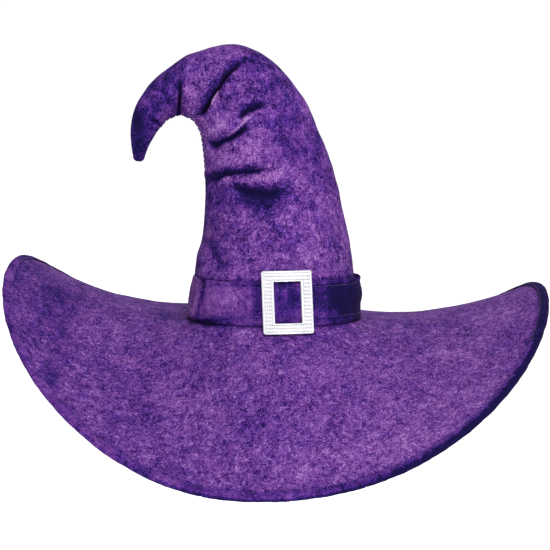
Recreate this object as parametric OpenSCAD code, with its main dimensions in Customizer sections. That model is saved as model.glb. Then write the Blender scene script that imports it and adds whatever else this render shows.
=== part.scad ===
// Soft pointed costume hat with a wired brim, a fabric band and a slide buckle.
// Origin: centre of the head opening, in the plane of the sweatband's lower edge.
// Z points up through the crown, -Y is the front, +X is the wearer's left.

/* [Head opening] */
// Inner radius of the sweatband
head_r = 91.5; // [88:0.5:96]
// Height of the sweatband
sweat_h = 26; // [20:1:26]
// Thickness of the sweatband
sweat_t = 1.0; // [0.8:0.1:1.0]

/* [Crown] */
// Height of the crown above the head opening
crown_h = 316; // [300:1:330]
// Thickness of the outer cloth
cloth_t = 0.8; // [0.6:0.1:0.8]
// Thickness of the foam inside the crown
foam_t = 1.6; // [1.2:0.1:1.6]
// Thickness of the lining
lining_t = 0.4; // [0.3:0.1:0.4]
// Width of the gathering tape sewn inside the bend
tape_w = 5; // [3:0.5:5]

/* [Crown tip] */
// Sideways place of the bend's centre
bend_x = -65; // [-66:1:-64]
// Radius of the overlap between the crown and its tip
socket_r = 70; // [69:0.5:71]
// Clearance between the crown and its tip
socket_gap = 1.5; // [1.2:0.1:2]

/* [Brim] */
// Width of the brim from the crown to the wire, along the cloth
brim_w = 212; // [190:1:230]
// Thickness of the brim's foam
brim_foam_t = 3.4; // [2:0.1:3.4]
// Slope at the crown, wearer's left side
slope_in_side_l = -9; // [-20:1:10]
// Slope at the crown, back left
slope_in_back_l = -3; // [-20:1:10]
// Slope at the crown, back
slope_in_back = 13; // [-10:1:15]
// Slope at the crown, back right
slope_in_back_r = 3; // [-20:1:10]
// Slope at the crown, wearer's right side
slope_in_side_r = -3; // [-20:1:10]
// Slope at the crown, front right
slope_in_front_r = -50; // [-53:1:-46]
// Slope at the crown, front
slope_in_front = -41; // [-46:1:-40]
// Slope at the crown, front left
slope_in_front_l = -44; // [-46:1:-40]
// Slope at the edge, wearer's left side
slope_out_side_l = 27; // [10:1:40]
// Slope at the edge, back left
slope_out_back_l = -8; // [-20:1:5]
// Slope at the edge, back
slope_out_back = -39; // [-60:1:-30]
// Slope at the edge, back right
slope_out_back_r = 2; // [-10:1:10]
// Slope at the edge, wearer's right side
slope_out_side_r = 34; // [15:1:45]
// Slope at the edge, front right
slope_out_front_r = -7; // [-25:1:0]
// Slope at the edge, front
slope_out_front = -58; // [-65:1:-45]
// Slope at the edge, front left
slope_out_front_l = -8; // [-25:1:0]

/* [Brim edge] */
// Diameter of the wire in the brim's edge
wire_d = 2.0; // [1.4:0.1:2.2]
// Width of the binding over the edge
binding_w = 10; // [8:0.5:12]
// Length of the sleeve that joins the wire's ends
ferrule_l = 14; // [10:1:18]

/* [Band] */
// Height of the band's lower edge
band_z0 = 8.8; // [8.8:0.1:10]
// Height of the band's upper edge
band_z1 = 54.5; // [46:0.1:54.5]
// Thickness of the band
band_t = 1.2; // [0.8:0.1:1.2]

/* [Buckle] */
// Place of the buckle round the crown, degrees from the front
buckle_place = 8.3; // [0:0.1:10]
// Width of the buckle
buckle_w = 56; // [50:1:58]
// Height of the buckle
buckle_h = 68; // [66:1:69]
// Width of the buckle's side bars
buckle_side = 13; // [10:0.5:14]
// Height of the buckle's top and bottom bars
buckle_bar = 12.3; // [11:0.1:13]
// Thickness of the buckle
buckle_t = 3; // [2:0.1:3.4]
// Lean of the buckle to one side, degrees
buckle_tilt = 2; // [0:0.5:2]
// How far the buckle slides to each side, degrees
buckle_slide = 9; // [4:1:9]

/* [Hidden] */
$fn = 96;
g = 0.25;                                   // gap between two cloth layers
rc = head_r + sweat_t + 0.6 + lining_t + g + foam_t + g + cloth_t;   // crown's outer radius
r0 = rc + 0.3;                              // brim's inner radius
brim_t = cloth_t * 2 + brim_foam_t + 2 * g; // whole brim
kz = crown_h / 316;
NC = 36;                                    // points round the crown
NB = 64;                                    // points round the brim
velvet = [0.36, 0.18, 0.55];
dark = [0.13, 0.08, 0.30];

// ---- crown: one rib per row, [inner x, inner z, outer x, outer z, half depth]
ribs = [[-rc, 0, rc, 0, rc],
        [0.1 - rc, 26, rc - 0.1, 26, rc - 0.1],
        [2.6 - rc, 41, rc - 2.6, 41, rc - 2.6],
        [6.4 - rc, 56, rc - 6.8, 56, rc - 6.6],
        [-87.5, 72, 87, 72, 84],
        [-81, 105, 82, 105, 75.5],
        [-78.5, 140, 76, 140, 65.5],
        [-79, 172, 67.5, 173, 57],
        [-82, 203, 51, 218, 49],
        [-85, 219, 30, 260, 44],
        [-88, 228, -8, 302, 39],
        [-98, 233, -55, 316, 34],
        [-109, 235, -104, 302, 29],
        [-120, 232, -138, 275, 22],
        [-129, 225, -156, 248, 17],
        [-137, 214, -162, 224, 13],
        [-142, 201, -162, 205, 9.5],
        [-146, 189, -160, 189, 7]];
last = len(ribs) - 1;
bend = [bend_x, 255.5 * kz];
function row(i) = let(k = max(0, min(last, i)), a = ribs[k])
    (k < 4) ? a : [a[0], a[1] * kz, a[2], a[3] * kz, a[4]];
function rib(u) = let(i = max(0, min(last - 1, floor(u))), f = u - i,
    p0 = i > 0 ? row(i - 1) : 2 * row(0) - row(1), p1 = row(i), p2 = row(i + 1),
    p3 = i < last - 1 ? row(i + 2) : 2 * row(last) - row(last - 1))
    (u <= 3) ? p1 + (p2 - p1) * f :
    0.5 * (2 * p1 + (p2 - p0) * f + (2 * p0 - 5 * p1 + 4 * p2 - p3) * f * f + (3 * p1 - p0 - 3 * p2 + p3) * f * f * f);
// point of the crown: u along it, a round it (0 = outer side), h = depth below the outer face
function crown_pt(u, a, h) = let(r = rib(u), dx = r[2] - r[0], dz = r[3] - r[1], w = sqrt(dx * dx + dz * dz) / 2,
    ex = dx / w / 2, ez = dz / w / 2, k = (w - h) * cos(a))
    [(r[0] + r[2]) / 2 + ex * k, (r[4] - h) * sin(a), (r[1] + r[3]) / 2 + ez * k];
function far(p) = sqrt(pow(p[0] - bend[0], 2) + pow(p[2] - bend[1], 2));
function cut_u(a, h, rad, lo = 4, hi = 10.6, n = 22) = n == 0 ? (lo + hi) / 2 :
    let(m = (lo + hi) / 2) far(crown_pt(m, a, h)) > rad ? cut_u(a, h, rad, m, hi, n - 1) : cut_u(a, h, rad, lo, m, n - 1);
// depth grows by `extra` between the third and the fourth rib so the layers lie loosely above the band
function depth(h, extra, u) = h + extra * min(1, max(0, u - 3));
fixed = [0, 1, 2, 3];
NL = 10;                                    // rings between the band and the tip
NT = 14;                                    // rings along the tip
function ang(i) = 360 * i / NC;
function low_ring(j, h, extra) = [for (i = [0:NC - 1]) let(a = ang(i), c = cut_u(a, h + extra, socket_r),
    u = j < 4 ? fixed[j] : 3 + (c - 3) * (j - 3) / NL) crown_pt(u, a, depth(h, extra, u))];
function tip_ring(j, h, end) = [for (i = [0:NC - 1]) let(a = ang(i), c = cut_u(a, h, socket_r - socket_gap),
    u = c + (end - c) * pow(j / NT, 0.9)) crown_pt(u, a, h)];
function flat(l) = [for (a = l) for (b = a) b];
// closed sleeve from a list of outer rings and a list of inner rings
module sleeve(outer, inner) {
    n = len(outer[0]); m = len(outer);
    o = 0; q = n * m;
    polyhedron(concat(flat(outer), flat(inner)), concat(
        [for (j = [0:m - 2]) for (i = [0:n - 1]) each let(k = (i + 1) % n)
            [[o + j * n + i, o + (j + 1) * n + k, o + j * n + k], [o + j * n + i, o + (j + 1) * n + i, o + (j + 1) * n + k]]],
        [for (j = [0:m - 2]) for (i = [0:n - 1]) each let(k = (i + 1) % n)
            [[q + j * n + i, q + j * n + k, q + (j + 1) * n + k], [q + j * n + i, q + (j + 1) * n + k, q + (j + 1) * n + i]]],
        [for (i = [0:n - 1]) each let(k = (i + 1) % n) [[i, k, q + k], [i, q + k, q + i]]],
        [for (i = [0:n - 1]) each let(k = (i + 1) % n, t = (m - 1) * n)
            [[t + i, q + t + k, t + k], [t + i, q + t + i, q + t + k]]]));
}
// cup: open at the first ring, closed over the last one
module cup(outer, inner) {
    n = len(outer[0]); m = len(outer);
    q = n * m; e = 2 * q;
    polyhedron(concat(flat(outer), flat(inner), [mean(outer[m - 1]), mean(inner[m - 1])]), concat(
        [for (j = [0:m - 2]) for (i = [0:n - 1]) each let(k = (i + 1) % n)
            [[j * n + i, (j + 1) * n + k, j * n + k], [j * n + i, (j + 1) * n + i, (j + 1) * n + k]]],
        [for (j = [0:m - 2]) for (i = [0:n - 1]) each let(k = (i + 1) % n)
            [[q + j * n + i, q + j * n + k, q + (j + 1) * n + k], [q + j * n + i, q + (j + 1) * n + k, q + (j + 1) * n + i]]],
        [for (i = [0:n - 1]) each let(k = (i + 1) % n) [[i, k, q + k], [i, q + k, q + i]]],
        [for (i = [0:n - 1]) let(k = (i + 1) % n, t = (m - 1) * n) [t + i, e, t + k]],
        [for (i = [0:n - 1]) let(k = (i + 1) % n, t = q + (m - 1) * n) [t + i, t + k, e + 1]]));
}
// solid from a list of rings, closed at both ends
module plug(rings) {
    n = len(rings[0]); m = len(rings); e = n * m;
    polyhedron(concat(flat(rings), [mean(rings[0]), mean(rings[m - 1])]), concat(
        [for (j = [0:m - 2]) for (i = [0:n - 1]) each let(k = (i + 1) % n)
            [[j * n + i, (j + 1) * n + k, j * n + k], [j * n + i, (j + 1) * n + i, (j + 1) * n + k]]],
        [for (i = [0:n - 1]) let(k = (i + 1) % n) [i, k, e]],
        [for (i = [0:n - 1]) let(k = (i + 1) % n, t = (m - 1) * n) [t + i, e + 1, t + k]]));
}
function mean(l) = [for (c = [0:2]) (sum([for (p = l) p[c]])) / len(l)];
function sum(v, i = 0) = i >= len(v) ? 0 : v[i] + sum(v, i + 1);

d_foam = cloth_t + g;
d_lin = d_foam + foam_t + g;
x_foam = 0.3;
x_lin = 0.7;
module low_layer(h, t, extra) sleeve([for (j = [0:NL + 3]) low_ring(j, h, extra)], [for (j = [0:NL + 3]) low_ring(j, h + t, extra)]);
module tip_layer(h, t, end) cup([for (j = [0:NT]) tip_ring(j, h, end)], [for (j = [0:NT]) tip_ring(j, h + t, end - t / 12)]);
module crown_cover() { color(velvet) low_layer(0, cloth_t, 0); }
module crown_interlining() { color([0.75, 0.75, 0.78]) low_layer(d_foam, foam_t, x_foam); }
module crown_lining() { color(dark) low_layer(d_lin, lining_t, x_lin); }
module tip_cover() { color(velvet) tip_layer(0, cloth_t, last); }
module tip_interlining() { color([0.75, 0.75, 0.78]) tip_layer(d_foam + x_foam, foam_t, last - 0.15); }
// the tip's lining stops short of the stuffed end; its rings stand beside those of the interlining
NS = 8;
module tip_lining() {
    h = d_lin + x_lin;
    color(dark) cup([for (j = [0:NS]) tip_ring(j, h, last - 0.15)],
                    [for (j = [0:NS]) tip_ring(j == NS ? NS - 0.05 : j, h + lining_t, last - 0.15)]);
}
module tip_wadding() {
    h = d_foam + x_foam + foam_t + 0.4;
    color([0.93, 0.93, 0.9]) plug([for (u = [14.35:0.4:16.35]) [for (i = [0:2:NC - 2]) crown_pt(u, ang(i), h)]]);
}
// flat gathering tape along the seam on the inner side of the bend
d_tape = d_lin + x_lin + lining_t + 0.6;
module tape(u0, u1, n, deeper = 0) {
    plug([for (j = [0:n]) let(u = u0 + (u1 - u0) * j / n, d = d_tape + deeper * min(1, 3 * j / n), p = crown_pt(u, 180, d), q = crown_pt(u, 180, d + 0.8), w = tape_w / 2)
        [p + [0, -w, 0], q + [0, -w, 0], q + [0, w, 0], p + [0, w, 0]]]);
}
module crown_gathering_tape() { color([0.9, 0.9, 0.9]) tape(6.1, cut_u(180, d_tape, socket_r) - 0.02, 6); }
module tip_gathering_tape() { color([0.9, 0.9, 0.9]) tape(cut_u(180, d_tape, socket_r - socket_gap) + 0.02, 13.2, 16, 1.2); }

// ---- brim: slopes at eight places round it, at the crown and at the edge
s_in = [slope_in_side_l, slope_in_back_l, slope_in_back, slope_in_back_r, slope_in_side_r, slope_in_front_r, slope_in_front, slope_in_front_l];
s_out = [slope_out_side_l, slope_out_back_l, slope_out_back, slope_out_back_r, slope_out_side_r, slope_out_front_r, slope_out_front, slope_out_front_l];
function kern(x) = (1 + 2 * cos(x) + 2 * cos(2 * x) + 2 * cos(3 * x) + cos(4 * x)) / 8;
function round8(v, a) = sum([for (k = [0:7]) v[k] * kern(a - 45 * k)]);
function turn(b0, b1) = abs(b1 - b0) < 0.5 ? 0.5 : b1 - b0;
function brim_mid(a, t) = let(b = round8(s_in, a), c = turn(b, round8(s_out, a)), q = brim_w * 180 / PI / c,
    r = r0 + q * (sin(b + c * t) - sin(b)), z = brim_t + q * (cos(b) - cos(b + c * t))) [r * cos(a), r * sin(a), z];
function unit(v) = v / norm(v);
function brim_out(a, t) = unit(brim_mid(a, t + 0.01) - brim_mid(a, t - 0.01));
function brim_n(a, t) = unit(cross(brim_out(a, t), brim_mid(a + 1, t) - brim_mid(a - 1, t)));
function brim_pt(a, t, h) = brim_mid(a, t) - h * brim_n(a, t);
function brim_start(a, h) = let(b = round8(s_in, a)) -h * tan(b) / brim_w;
NR = 7;                                     // rings across the brim
function brim_ring(j, h) = [for (i = [0:NB - 1]) let(a = -360 * i / NB, s = brim_start(a, h), t = s + (1 - s) * j / NR,
    p = brim_pt(a, t, h)) j == 0 ? [r0 * cos(a), r0 * sin(a), p[2]] : p];
module brim_layer(h, t) sleeve([for (j = [0:NR]) brim_ring(j, h)], [for (j = [0:NR]) brim_ring(j, h + t)]);
module brim_top_cover() { color(velvet) brim_layer(0, cloth_t); }
module brim_core() { color([0.2, 0.2, 0.22]) brim_layer(cloth_t + g, brim_foam_t); }
module brim_under_cover() { color(velvet) brim_layer(cloth_t + g + brim_foam_t + g, cloth_t); }
// place in the edge's own section: u outwards, v up
function edge_pt(a, u, v) = let(t = 1) brim_mid(a, t) + (v - brim_t / 2) * brim_n(a, t) + u * brim_out(a, t);
module edge_tube(c, r, n, num) {
    loop([for (i = [0:num - 1]) let(a = -360 * i / num) [for (k = [0:n - 1]) edge_pt(a, c[0] + r * cos(360 * k / n), c[1] + r * sin(360 * k / n))]]);
}
module loop(rings) {
    m = len(rings); n = len(rings[0]);
    polyhedron(flat(rings), [for (j = [0:m - 1]) for (i = [0:n - 1]) each let(k = (i + 1) % n, w = (j + 1) % m)
        [[j * n + i, w * n + k, j * n + k], [j * n + i, w * n + i, w * n + k]]]);
}
wire_u = 1.9;
bi = brim_t / 2 + 0.65;                     // half height inside the binding
bo = bi + 0.9;
module brim_wire() { color([0.7, 0.7, 0.72]) edge_tube([wire_u, 0], wire_d / 2, 8, NB); }
module wire_ferrule() {
    c = edge_pt(90, wire_u, 0); d = unit(edge_pt(91, wire_u, 0) - edge_pt(89, wire_u, 0));
    color([0.8, 0.8, 0.82]) translate(c) rotate([0, acos(d[2]), atan2(d[1], d[0])]) difference() {
        cylinder(h = ferrule_l, r = wire_d / 2 + 0.65, center = true, $fn = 24);
        cylinder(h = ferrule_l + 2, r = wire_d / 2 + 0.25, center = true, $fn = 24);
    }
}
function binding_section() = concat(
    [[-binding_w + 4.9, bo]], [for (q = [60:-30:-60]) [1 + bo * cos(q), bo * sin(q)]], [[-binding_w + 4.9, -bo]],
    [[-binding_w + 4.9, -bi]], [for (q = [-60:30:60]) [1 + bi * cos(q), bi * sin(q)]], [[-binding_w + 4.9, bi]]);
module brim_binding() {
    s = binding_section();
    color(dark) loop([for (i = [0:NB - 1]) let(a = -360 * i / NB) [for (k = [len(s) - 1:-1:0]) edge_pt(a, s[k][0], s[k][1])]]);
}
module binding_stitching() {
    color([0.25, 0.15, 0.45]) edge_tube([-binding_w + 6.2, bo + 0.35], 0.3, 4, NB);
}

// ---- sweatband and label
module sweatband() { color([0.1, 0.09, 0.14]) difference() { cylinder(h = sweat_h, r = head_r + sweat_t); translate([0, 0, -1]) cylinder(h = sweat_h + 2, r = head_r); } }
module care_label() { color([0.95, 0.95, 0.95]) translate([0, head_r - 1.2, sweat_h + 0.3]) rotate([14, 0, 0]) translate([-12.5, -0.15, 0]) cube([25, 0.3, 30]); }

// ---- band
function crown_r(z) = z < 26 ? rc - 0.1 * z / 26 : z < 41 ? rc - 0.1 - 2.5 * (z - 26) / 15 : rc - 2.6 - 3.8 * (z - 41) / 15;
levels = [band_z0, 26, 41, band_z1];
lift = 2.2;                                 // the band rises over the buckle's middle bar
zone = buckle_slide + 2.2;
place = -90 + buckle_place;
ramp = 5;                                   // degrees over which it comes down again
function ease(x) = let(t = min(1, max(0, x))) t * t * (3 - 2 * t);
function rise(a) = lift * (1 - ease((abs(a) - zone) / ramp));
// angles measured from the buckle's place, closer together where the band rises
function band_angles() = concat([for (i = [0:11]) -zone + 2 * zone * i / 12], [for (i = [0:7]) zone + ramp * i / 8],
    [for (i = [0:75]) zone + ramp + (360 - 2 * zone - 2 * ramp) * i / 76], [for (i = [0:7]) 360 - zone - ramp + ramp * i / 8]);
function signed(a) = a > 180 ? a - 360 : a;
function band_section(a) = let(e = rise(signed(a)), t = place + a) concat(
    [for (z = levels) let(r = crown_r(z) + 0.3 + e) [r * cos(t), r * sin(t), z]],
    [for (k = [3:-1:0]) let(z = levels[k], r = crown_r(z) + 0.3 + e + band_t) [r * cos(t), r * sin(t), z]]);
module hat_band() { color(dark) loop([for (a = band_angles()) band_section(a)]); }
module thread(a0, a1, r, z) rotate([0, 0, a0]) rotate_extrude(angle = a1 - a0) translate([crown_r(z) + 0.3 + band_t + r, z]) circle(r = 0.2, $fn = 16);
module band_stitching() {
    color([0.3, 0.2, 0.5]) for (z = [band_z0 + 5.5, band_z1 - 5.5]) {
        thread(place + zone + ramp + 0.5, place + 360 - zone - ramp - 0.5, 0.3, z);
        thread(place - zone + 0.3, place + zone - 0.3, 0.3 + lift, z);
    }
}

// ---- buckle: a slightly conical frame with a middle bar that passes behind the band
buckle_z0 = -1;
lean = 0.2;
function frame_r(z) = 106.9 + (rc - 96.4) - lean * (z - buckle_z0);
half_a = asin(buckle_w / 2 / (frame_r(33) + buckle_t / 2));
in_a = asin((buckle_w / 2 - buckle_side) / (frame_r(33) + buckle_t / 2));
module frame_part(a0, a1, z0, z1) rotate([0, 0, place + a0]) rotate_extrude(angle = a1 - a0)
    polygon([[frame_r(z0), z0], [frame_r(z0) + buckle_t, z0], [frame_r(z1) + buckle_t, z1], [frame_r(z1), z1]]);
module buckle_frame() {
    z1 = buckle_z0 + buckle_h; zt = z1 - buckle_bar; zb = buckle_z0 + buckle_bar; w = 1.4;
    color([0.92, 0.92, 0.93]) rotate([0, 0, place]) translate([0, 0, 33]) rotate([buckle_tilt, 0, 0]) translate([0, 0, -33]) rotate([0, 0, -place])
    union() {
        difference() {
            frame_part(-half_a, half_a, buckle_z0, z1);
            rotate([0, 0, place]) rotate([0, 0, -in_a]) rotate_extrude(angle = 2 * in_a) translate([80, zb]) square([40, zt - zb]);
        }
        rotate([0, 0, place - w]) rotate_extrude(angle = 2 * w) polygon([
            [frame_r(6.3) + 1, 6.3], [rc + 0.4, 6.3], [rc + 0.4, 26], [rc - 2.1, 41], [rc - 5.7, zt + 0.4], [rc - 6.0, zt + 2.8],
            [frame_r(zt + 2.8) + 1, zt + 2.8], [frame_r(zt + 0.8) + 1, zt + 0.8], [rc - 4.1, zt + 0.8], [rc - 0.7, 41.4], [rc + 1.8, 26.2], [rc + 1.85, 8.2], [frame_r(8.2) + 1, 8.2]]);
    }
}

crown_cover();
crown_interlining();
crown_lining();
crown_gathering_tape();
tip_cover();
tip_interlining();
tip_lining();
tip_gathering_tape();
tip_wadding();
brim_top_cover();
brim_core();
brim_under_cover();
brim_wire();
wire_ferrule();
brim_binding();
binding_stitching();
sweatband();
care_label();
hat_band();
band_stitching();
buckle_frame();
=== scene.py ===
import math

import bmesh
import bpy
import numpy as np
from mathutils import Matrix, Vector


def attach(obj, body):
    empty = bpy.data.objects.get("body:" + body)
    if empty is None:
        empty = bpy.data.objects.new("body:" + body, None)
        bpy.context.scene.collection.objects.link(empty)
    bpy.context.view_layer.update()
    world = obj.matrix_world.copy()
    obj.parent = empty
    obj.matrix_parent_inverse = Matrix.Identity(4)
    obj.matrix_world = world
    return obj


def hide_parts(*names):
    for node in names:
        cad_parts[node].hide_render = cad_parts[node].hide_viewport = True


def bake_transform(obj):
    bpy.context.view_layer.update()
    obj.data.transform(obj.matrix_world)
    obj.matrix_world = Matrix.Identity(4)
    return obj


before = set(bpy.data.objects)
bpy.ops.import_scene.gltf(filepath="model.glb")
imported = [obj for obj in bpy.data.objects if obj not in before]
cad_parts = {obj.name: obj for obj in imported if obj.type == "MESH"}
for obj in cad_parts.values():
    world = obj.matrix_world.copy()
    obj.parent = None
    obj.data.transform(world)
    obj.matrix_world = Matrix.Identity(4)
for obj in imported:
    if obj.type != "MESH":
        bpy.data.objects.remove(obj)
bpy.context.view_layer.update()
rng = np.random.default_rng(11)

# ------------------------------------------------------------------ sizes shared with the CAD, in mm
HEAD_R = 91.5
RC = 96.4            # crown's outer radius at its base
R0 = 96.7            # brim's inner radius
BRIM_T = 5.5
BRIM_W = 212.0
S_IN = np.array([-9, -3, 13, 3, -3, -50, -41, -44], float)
S_OUT = np.array([27, -8, -39, 2, 34, -7, -58, -8], float)
BAND_Z0, BAND_Z1 = 8.8, 54.5
PLACE = -81.7        # the buckle's place round the crown, degrees
RIBS = np.array([
    [-96.4, 0, 96.4, 0, 96.4],
    [-96.3, 26, 96.3, 26, 96.3],
    [-93.8, 41, 93.8, 41, 93.8],
    [-90.0, 56, 89.6, 56, 89.8],
    [-87.5, 72, 87, 72, 84],
    [-81, 105, 82, 105, 75.5],
    [-78.5, 140, 76, 140, 65.5],
    [-79, 172, 67.5, 173, 57],
    [-82, 203, 51, 218, 49],
    [-85, 219, 30, 260, 44],
    [-88, 228, -8, 302, 39],
    [-98, 233, -55, 316, 34],
    [-109, 235, -104, 302, 29],
    [-120, 232, -138, 275, 22],
    [-129, 225, -156, 248, 17],
    [-137, 214, -162, 224, 13],
    [-142, 201, -162, 205, 9.5],
    [-146, 189, -160, 189, 7]], float)
BEND = (-65.0, 255.5)

# ------------------------------------------------------------------ camera
PITCH = math.radians(4.833)
F_PX = 2110.8
CAM = np.array([0.57, -2400 * math.cos(math.radians(6)), 2400 * math.sin(math.radians(6)) + 5.5])


def project(p):
    """points in mm to the picture's 550 x 550 frame"""
    d = p - CAM
    dep = d[..., 1] * math.cos(PITCH) - d[..., 2] * math.sin(PITCH)
    up = d[..., 1] * math.sin(PITCH) + d[..., 2] * math.cos(PITCH)
    return np.stack([275 + F_PX * d[..., 0] / dep, 275 - F_PX * up / dep], -1)


cam_data = bpy.data.cameras.new("camera")
cam_data.sensor_width = 36.0
cam_data.lens = F_PX / 550 * 36.0
cam_data.clip_end = 50
cam = bpy.data.objects.new("camera", cam_data)
cam.location = Vector(CAM / 1000)
cam.rotation_euler = (math.radians(90) - PITCH, 0, 0)
bpy.context.scene.collection.objects.link(cam)
bpy.context.scene.camera = cam


# ------------------------------------------------------------------ small helpers
def smooth(x):
    x = np.clip(x, 0, 1)
    return x * x * (3 - 2 * x)


def lerp(a, b, t):
    return a + (b - a) * t


def normalise(v):
    return v / np.maximum(np.linalg.norm(v, axis=-1, keepdims=True), 1e-9)


def hash3(i, j, k, seed):
    n = (i * 374761393 + j * 668265263 + k * 2147483647 + seed * 974634777).astype(np.int64)
    n = (n ^ (n >> 13)) * 1274126177
    n = n ^ (n >> 16)
    return ((n & 0xFFFFFF) / 0xFFFFFF) * 2.0 - 1.0


def noise3(p, scale, seed=0):
    """smooth value noise, -1 to 1; scale is the wavelength in mm"""
    q = p / scale + 1000.0
    f = np.floor(q).astype(np.int64)
    t = q - f
    t = t * t * t * (t * (t * 6 - 15) + 10)
    r = 0
    for dx in (0, 1):
        for dy in (0, 1):
            for dz in (0, 1):
                w = (t[..., 0] if dx else 1 - t[..., 0]) * (t[..., 1] if dy else 1 - t[..., 1]) * (t[..., 2] if dz else 1 - t[..., 2])
                r = r + w * hash3(f[..., 0] + dx, f[..., 1] + dy, f[..., 2] + dz, seed)
    return r


def fbm(p, scale, seed=0, octaves=3):
    r, a = 0, 1.0
    for o in range(octaves):
        r = r + a * noise3(p, scale / 2 ** o, seed + 17 * o)
        a *= 0.5
    return r


def grid_normals(P, wrap=True):
    """unit normals of a grid of points [rows, columns, 3]; columns wrap round"""
    if wrap:
        dc = np.roll(P, -1, 1) - np.roll(P, 1, 1)
    else:
        dc = np.gradient(P, axis=1)
    dr = np.gradient(P, axis=0)
    return normalise(np.cross(dc, dr))


def grid_faces(nr, nc, wrap=True, flip=False):
    j, i = np.meshgrid(np.arange(nr - 1), np.arange(nc if wrap else nc - 1), indexing="ij")
    k = (i + 1) % nc
    a, b, c, d = j * nc + i, j * nc + k, (j + 1) * nc + k, (j + 1) * nc + i
    f = np.stack([a, b, c, d] if not flip else [d, c, b, a], -1).reshape(-1, 4)
    return f


def new_mesh(name, verts, faces, smooth_shade=True, attrs=None):
    """verts in mm; faces a list or an array"""
    me = bpy.data.meshes.new(name)
    verts = np.asarray(verts, float).reshape(-1, 3)
    fl = faces.tolist() if isinstance(faces, np.ndarray) else [list(map(int, f)) for f in faces]
    me.from_pydata((verts / 1000.0).tolist(), [], fl)
    me.validate()
    if smooth_shade:
        me.polygons.foreach_set("use_smooth", [True] * len(me.polygons))
    for key, val in (attrs or {}).items():
        val = np.asarray(val, np.float32)
        if val.ndim == 1:
            at = me.attributes.new(key, "FLOAT", "POINT")
            at.data.foreach_set("value", val)
        else:
            at = me.attributes.new(key, "FLOAT_VECTOR", "POINT")
            at.data.foreach_set("vector", val.reshape(-1))
    me.update()
    ob = bpy.data.objects.new(name, me)
    bpy.context.scene.collection.objects.link(ob)
    return ob


def solidify(ob, t_mm, offset=-1.0):
    m = ob.modifiers.new("thickness", "SOLIDIFY")
    m.thickness = t_mm / 1000
    m.offset = offset
    m.use_even_offset = False
    return m


# ------------------------------------------------------------------ materials
def ramp(nt, stops, interp="LINEAR"):
    n = nt.nodes.new("ShaderNodeValToRGB")
    n.color_ramp.interpolation = interp
    while len(n.color_ramp.elements) < len(stops):
        n.color_ramp.elements.new(0.5)
    for e, (p, c) in zip(n.color_ramp.elements, stops):
        e.position = p
        e.color = (*c, 1) if len(c) == 3 else c
    return n


def srgb(r, g, b):
    f = lambda c: (c / 255) / 12.92 if c <= 10 else (((c / 255) + 0.055) / 1.055) ** 2.4
    return (f(r), f(g), f(b))


class Mat:
    """a short way to wire nodes"""

    def __init__(self, name):
        self.m = bpy.data.materials.new(name)
        self.m.use_nodes = True
        self.nt = self.m.node_tree
        self.b = self.nt.nodes["Principled BSDF"]
        self.out = self.nt.nodes["Material Output"]

    def n(self, kind, **props):
        n = self.nt.nodes.new(kind)
        for k, v in props.items():
            setattr(n, k, v)
        return n

    def link(self, a, b):
        self.nt.links.new(a, b)
        return b

    def attr(self, name):
        return self.n("ShaderNodeAttribute", attribute_name=name, attribute_type="GEOMETRY")

    def scaled(self, vec, s):
        m = self.n("ShaderNodeVectorMath", operation="MULTIPLY")
        self.link(vec, m.inputs[0])
        m.inputs[1].default_value = s if hasattr(s, "__len__") else (s, s, s)
        return m.outputs[0]

    def noise(self, vec, scale, detail=3.0, rough=0.5, dist=0.0, lac=2.0):
        n = self.n("ShaderNodeTexNoise")
        self.link(vec, n.inputs["Vector"])
        n.inputs["Scale"].default_value = scale
        n.inputs["Detail"].default_value = detail
        n.inputs["Roughness"].default_value = rough
        n.inputs["Distortion"].default_value = dist
        n.inputs["Lacunarity"].default_value = lac
        return n.outputs["Fac"]

    def math(self, op, a, b=None, clamp=False):
        m = self.n("ShaderNodeMath", operation=op, use_clamp=clamp)
        for i, v in enumerate((a, b)):
            if v is None:
                continue
            if isinstance(v, (int, float)):
                m.inputs[i].default_value = v
            else:
                self.link(v, m.inputs[i])
        return m.outputs[0]

    def mapr(self, v, a, b, c=0.0, d=1.0, clamp=True):
        m = self.n("ShaderNodeMapRange", clamp=clamp)
        self.link(v, m.inputs["Value"])
        for k, x in zip(("From Min", "From Max", "To Min", "To Max"), (a, b, c, d)):
            m.inputs[k].default_value = x
        return m.outputs["Result"]

    def bump(self, height, strength, distance, normal=None):
        n = self.n("ShaderNodeBump")
        self.link(height, n.inputs["Height"])
        n.inputs["Strength"].default_value = strength
        n.inputs["Distance"].default_value = distance
        if normal is not None:
            self.link(normal, n.inputs["Normal"])
        return n.outputs["Normal"]

    def mix(self, fac, a, b, blend="MIX"):
        m = self.n("ShaderNodeMix", data_type="RGBA", blend_type=blend)
        if isinstance(fac, (int, float)):
            m.inputs["Factor"].default_value = fac
        else:
            self.link(fac, m.inputs["Factor"])
        for s, v in (("A", a), ("B", b)):
            sock = [i for i in m.inputs if i.name == s and i.type == "RGBA"][0]
            if isinstance(v, tuple):
                sock.default_value = (*v, 1)
            else:
                self.link(v, sock)
        return [o for o in m.outputs if o.type == "RGBA"][0]

    def set(self, **kw):
        for k, v in kw.items():
            s = self.b.inputs[k.replace("_", " ")]
            s.default_value = (*v, 1) if isinstance(v, tuple) and len(v) == 3 else v


VELVET_STOPS = [
    (0.00, (27, 18, 60)),
    (0.15, (48, 26, 92)),
    (0.30, (75, 36, 117)),
    (0.45, (98, 52, 136)),
    (0.60, (114, 67, 150)),
    (0.75, (128, 80, 162)),
    (0.88, (145, 99, 175)),
    (1.00, (168, 128, 194)),
]
DYE = 0.665           # how deep the dye is against the light in the scene


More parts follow.
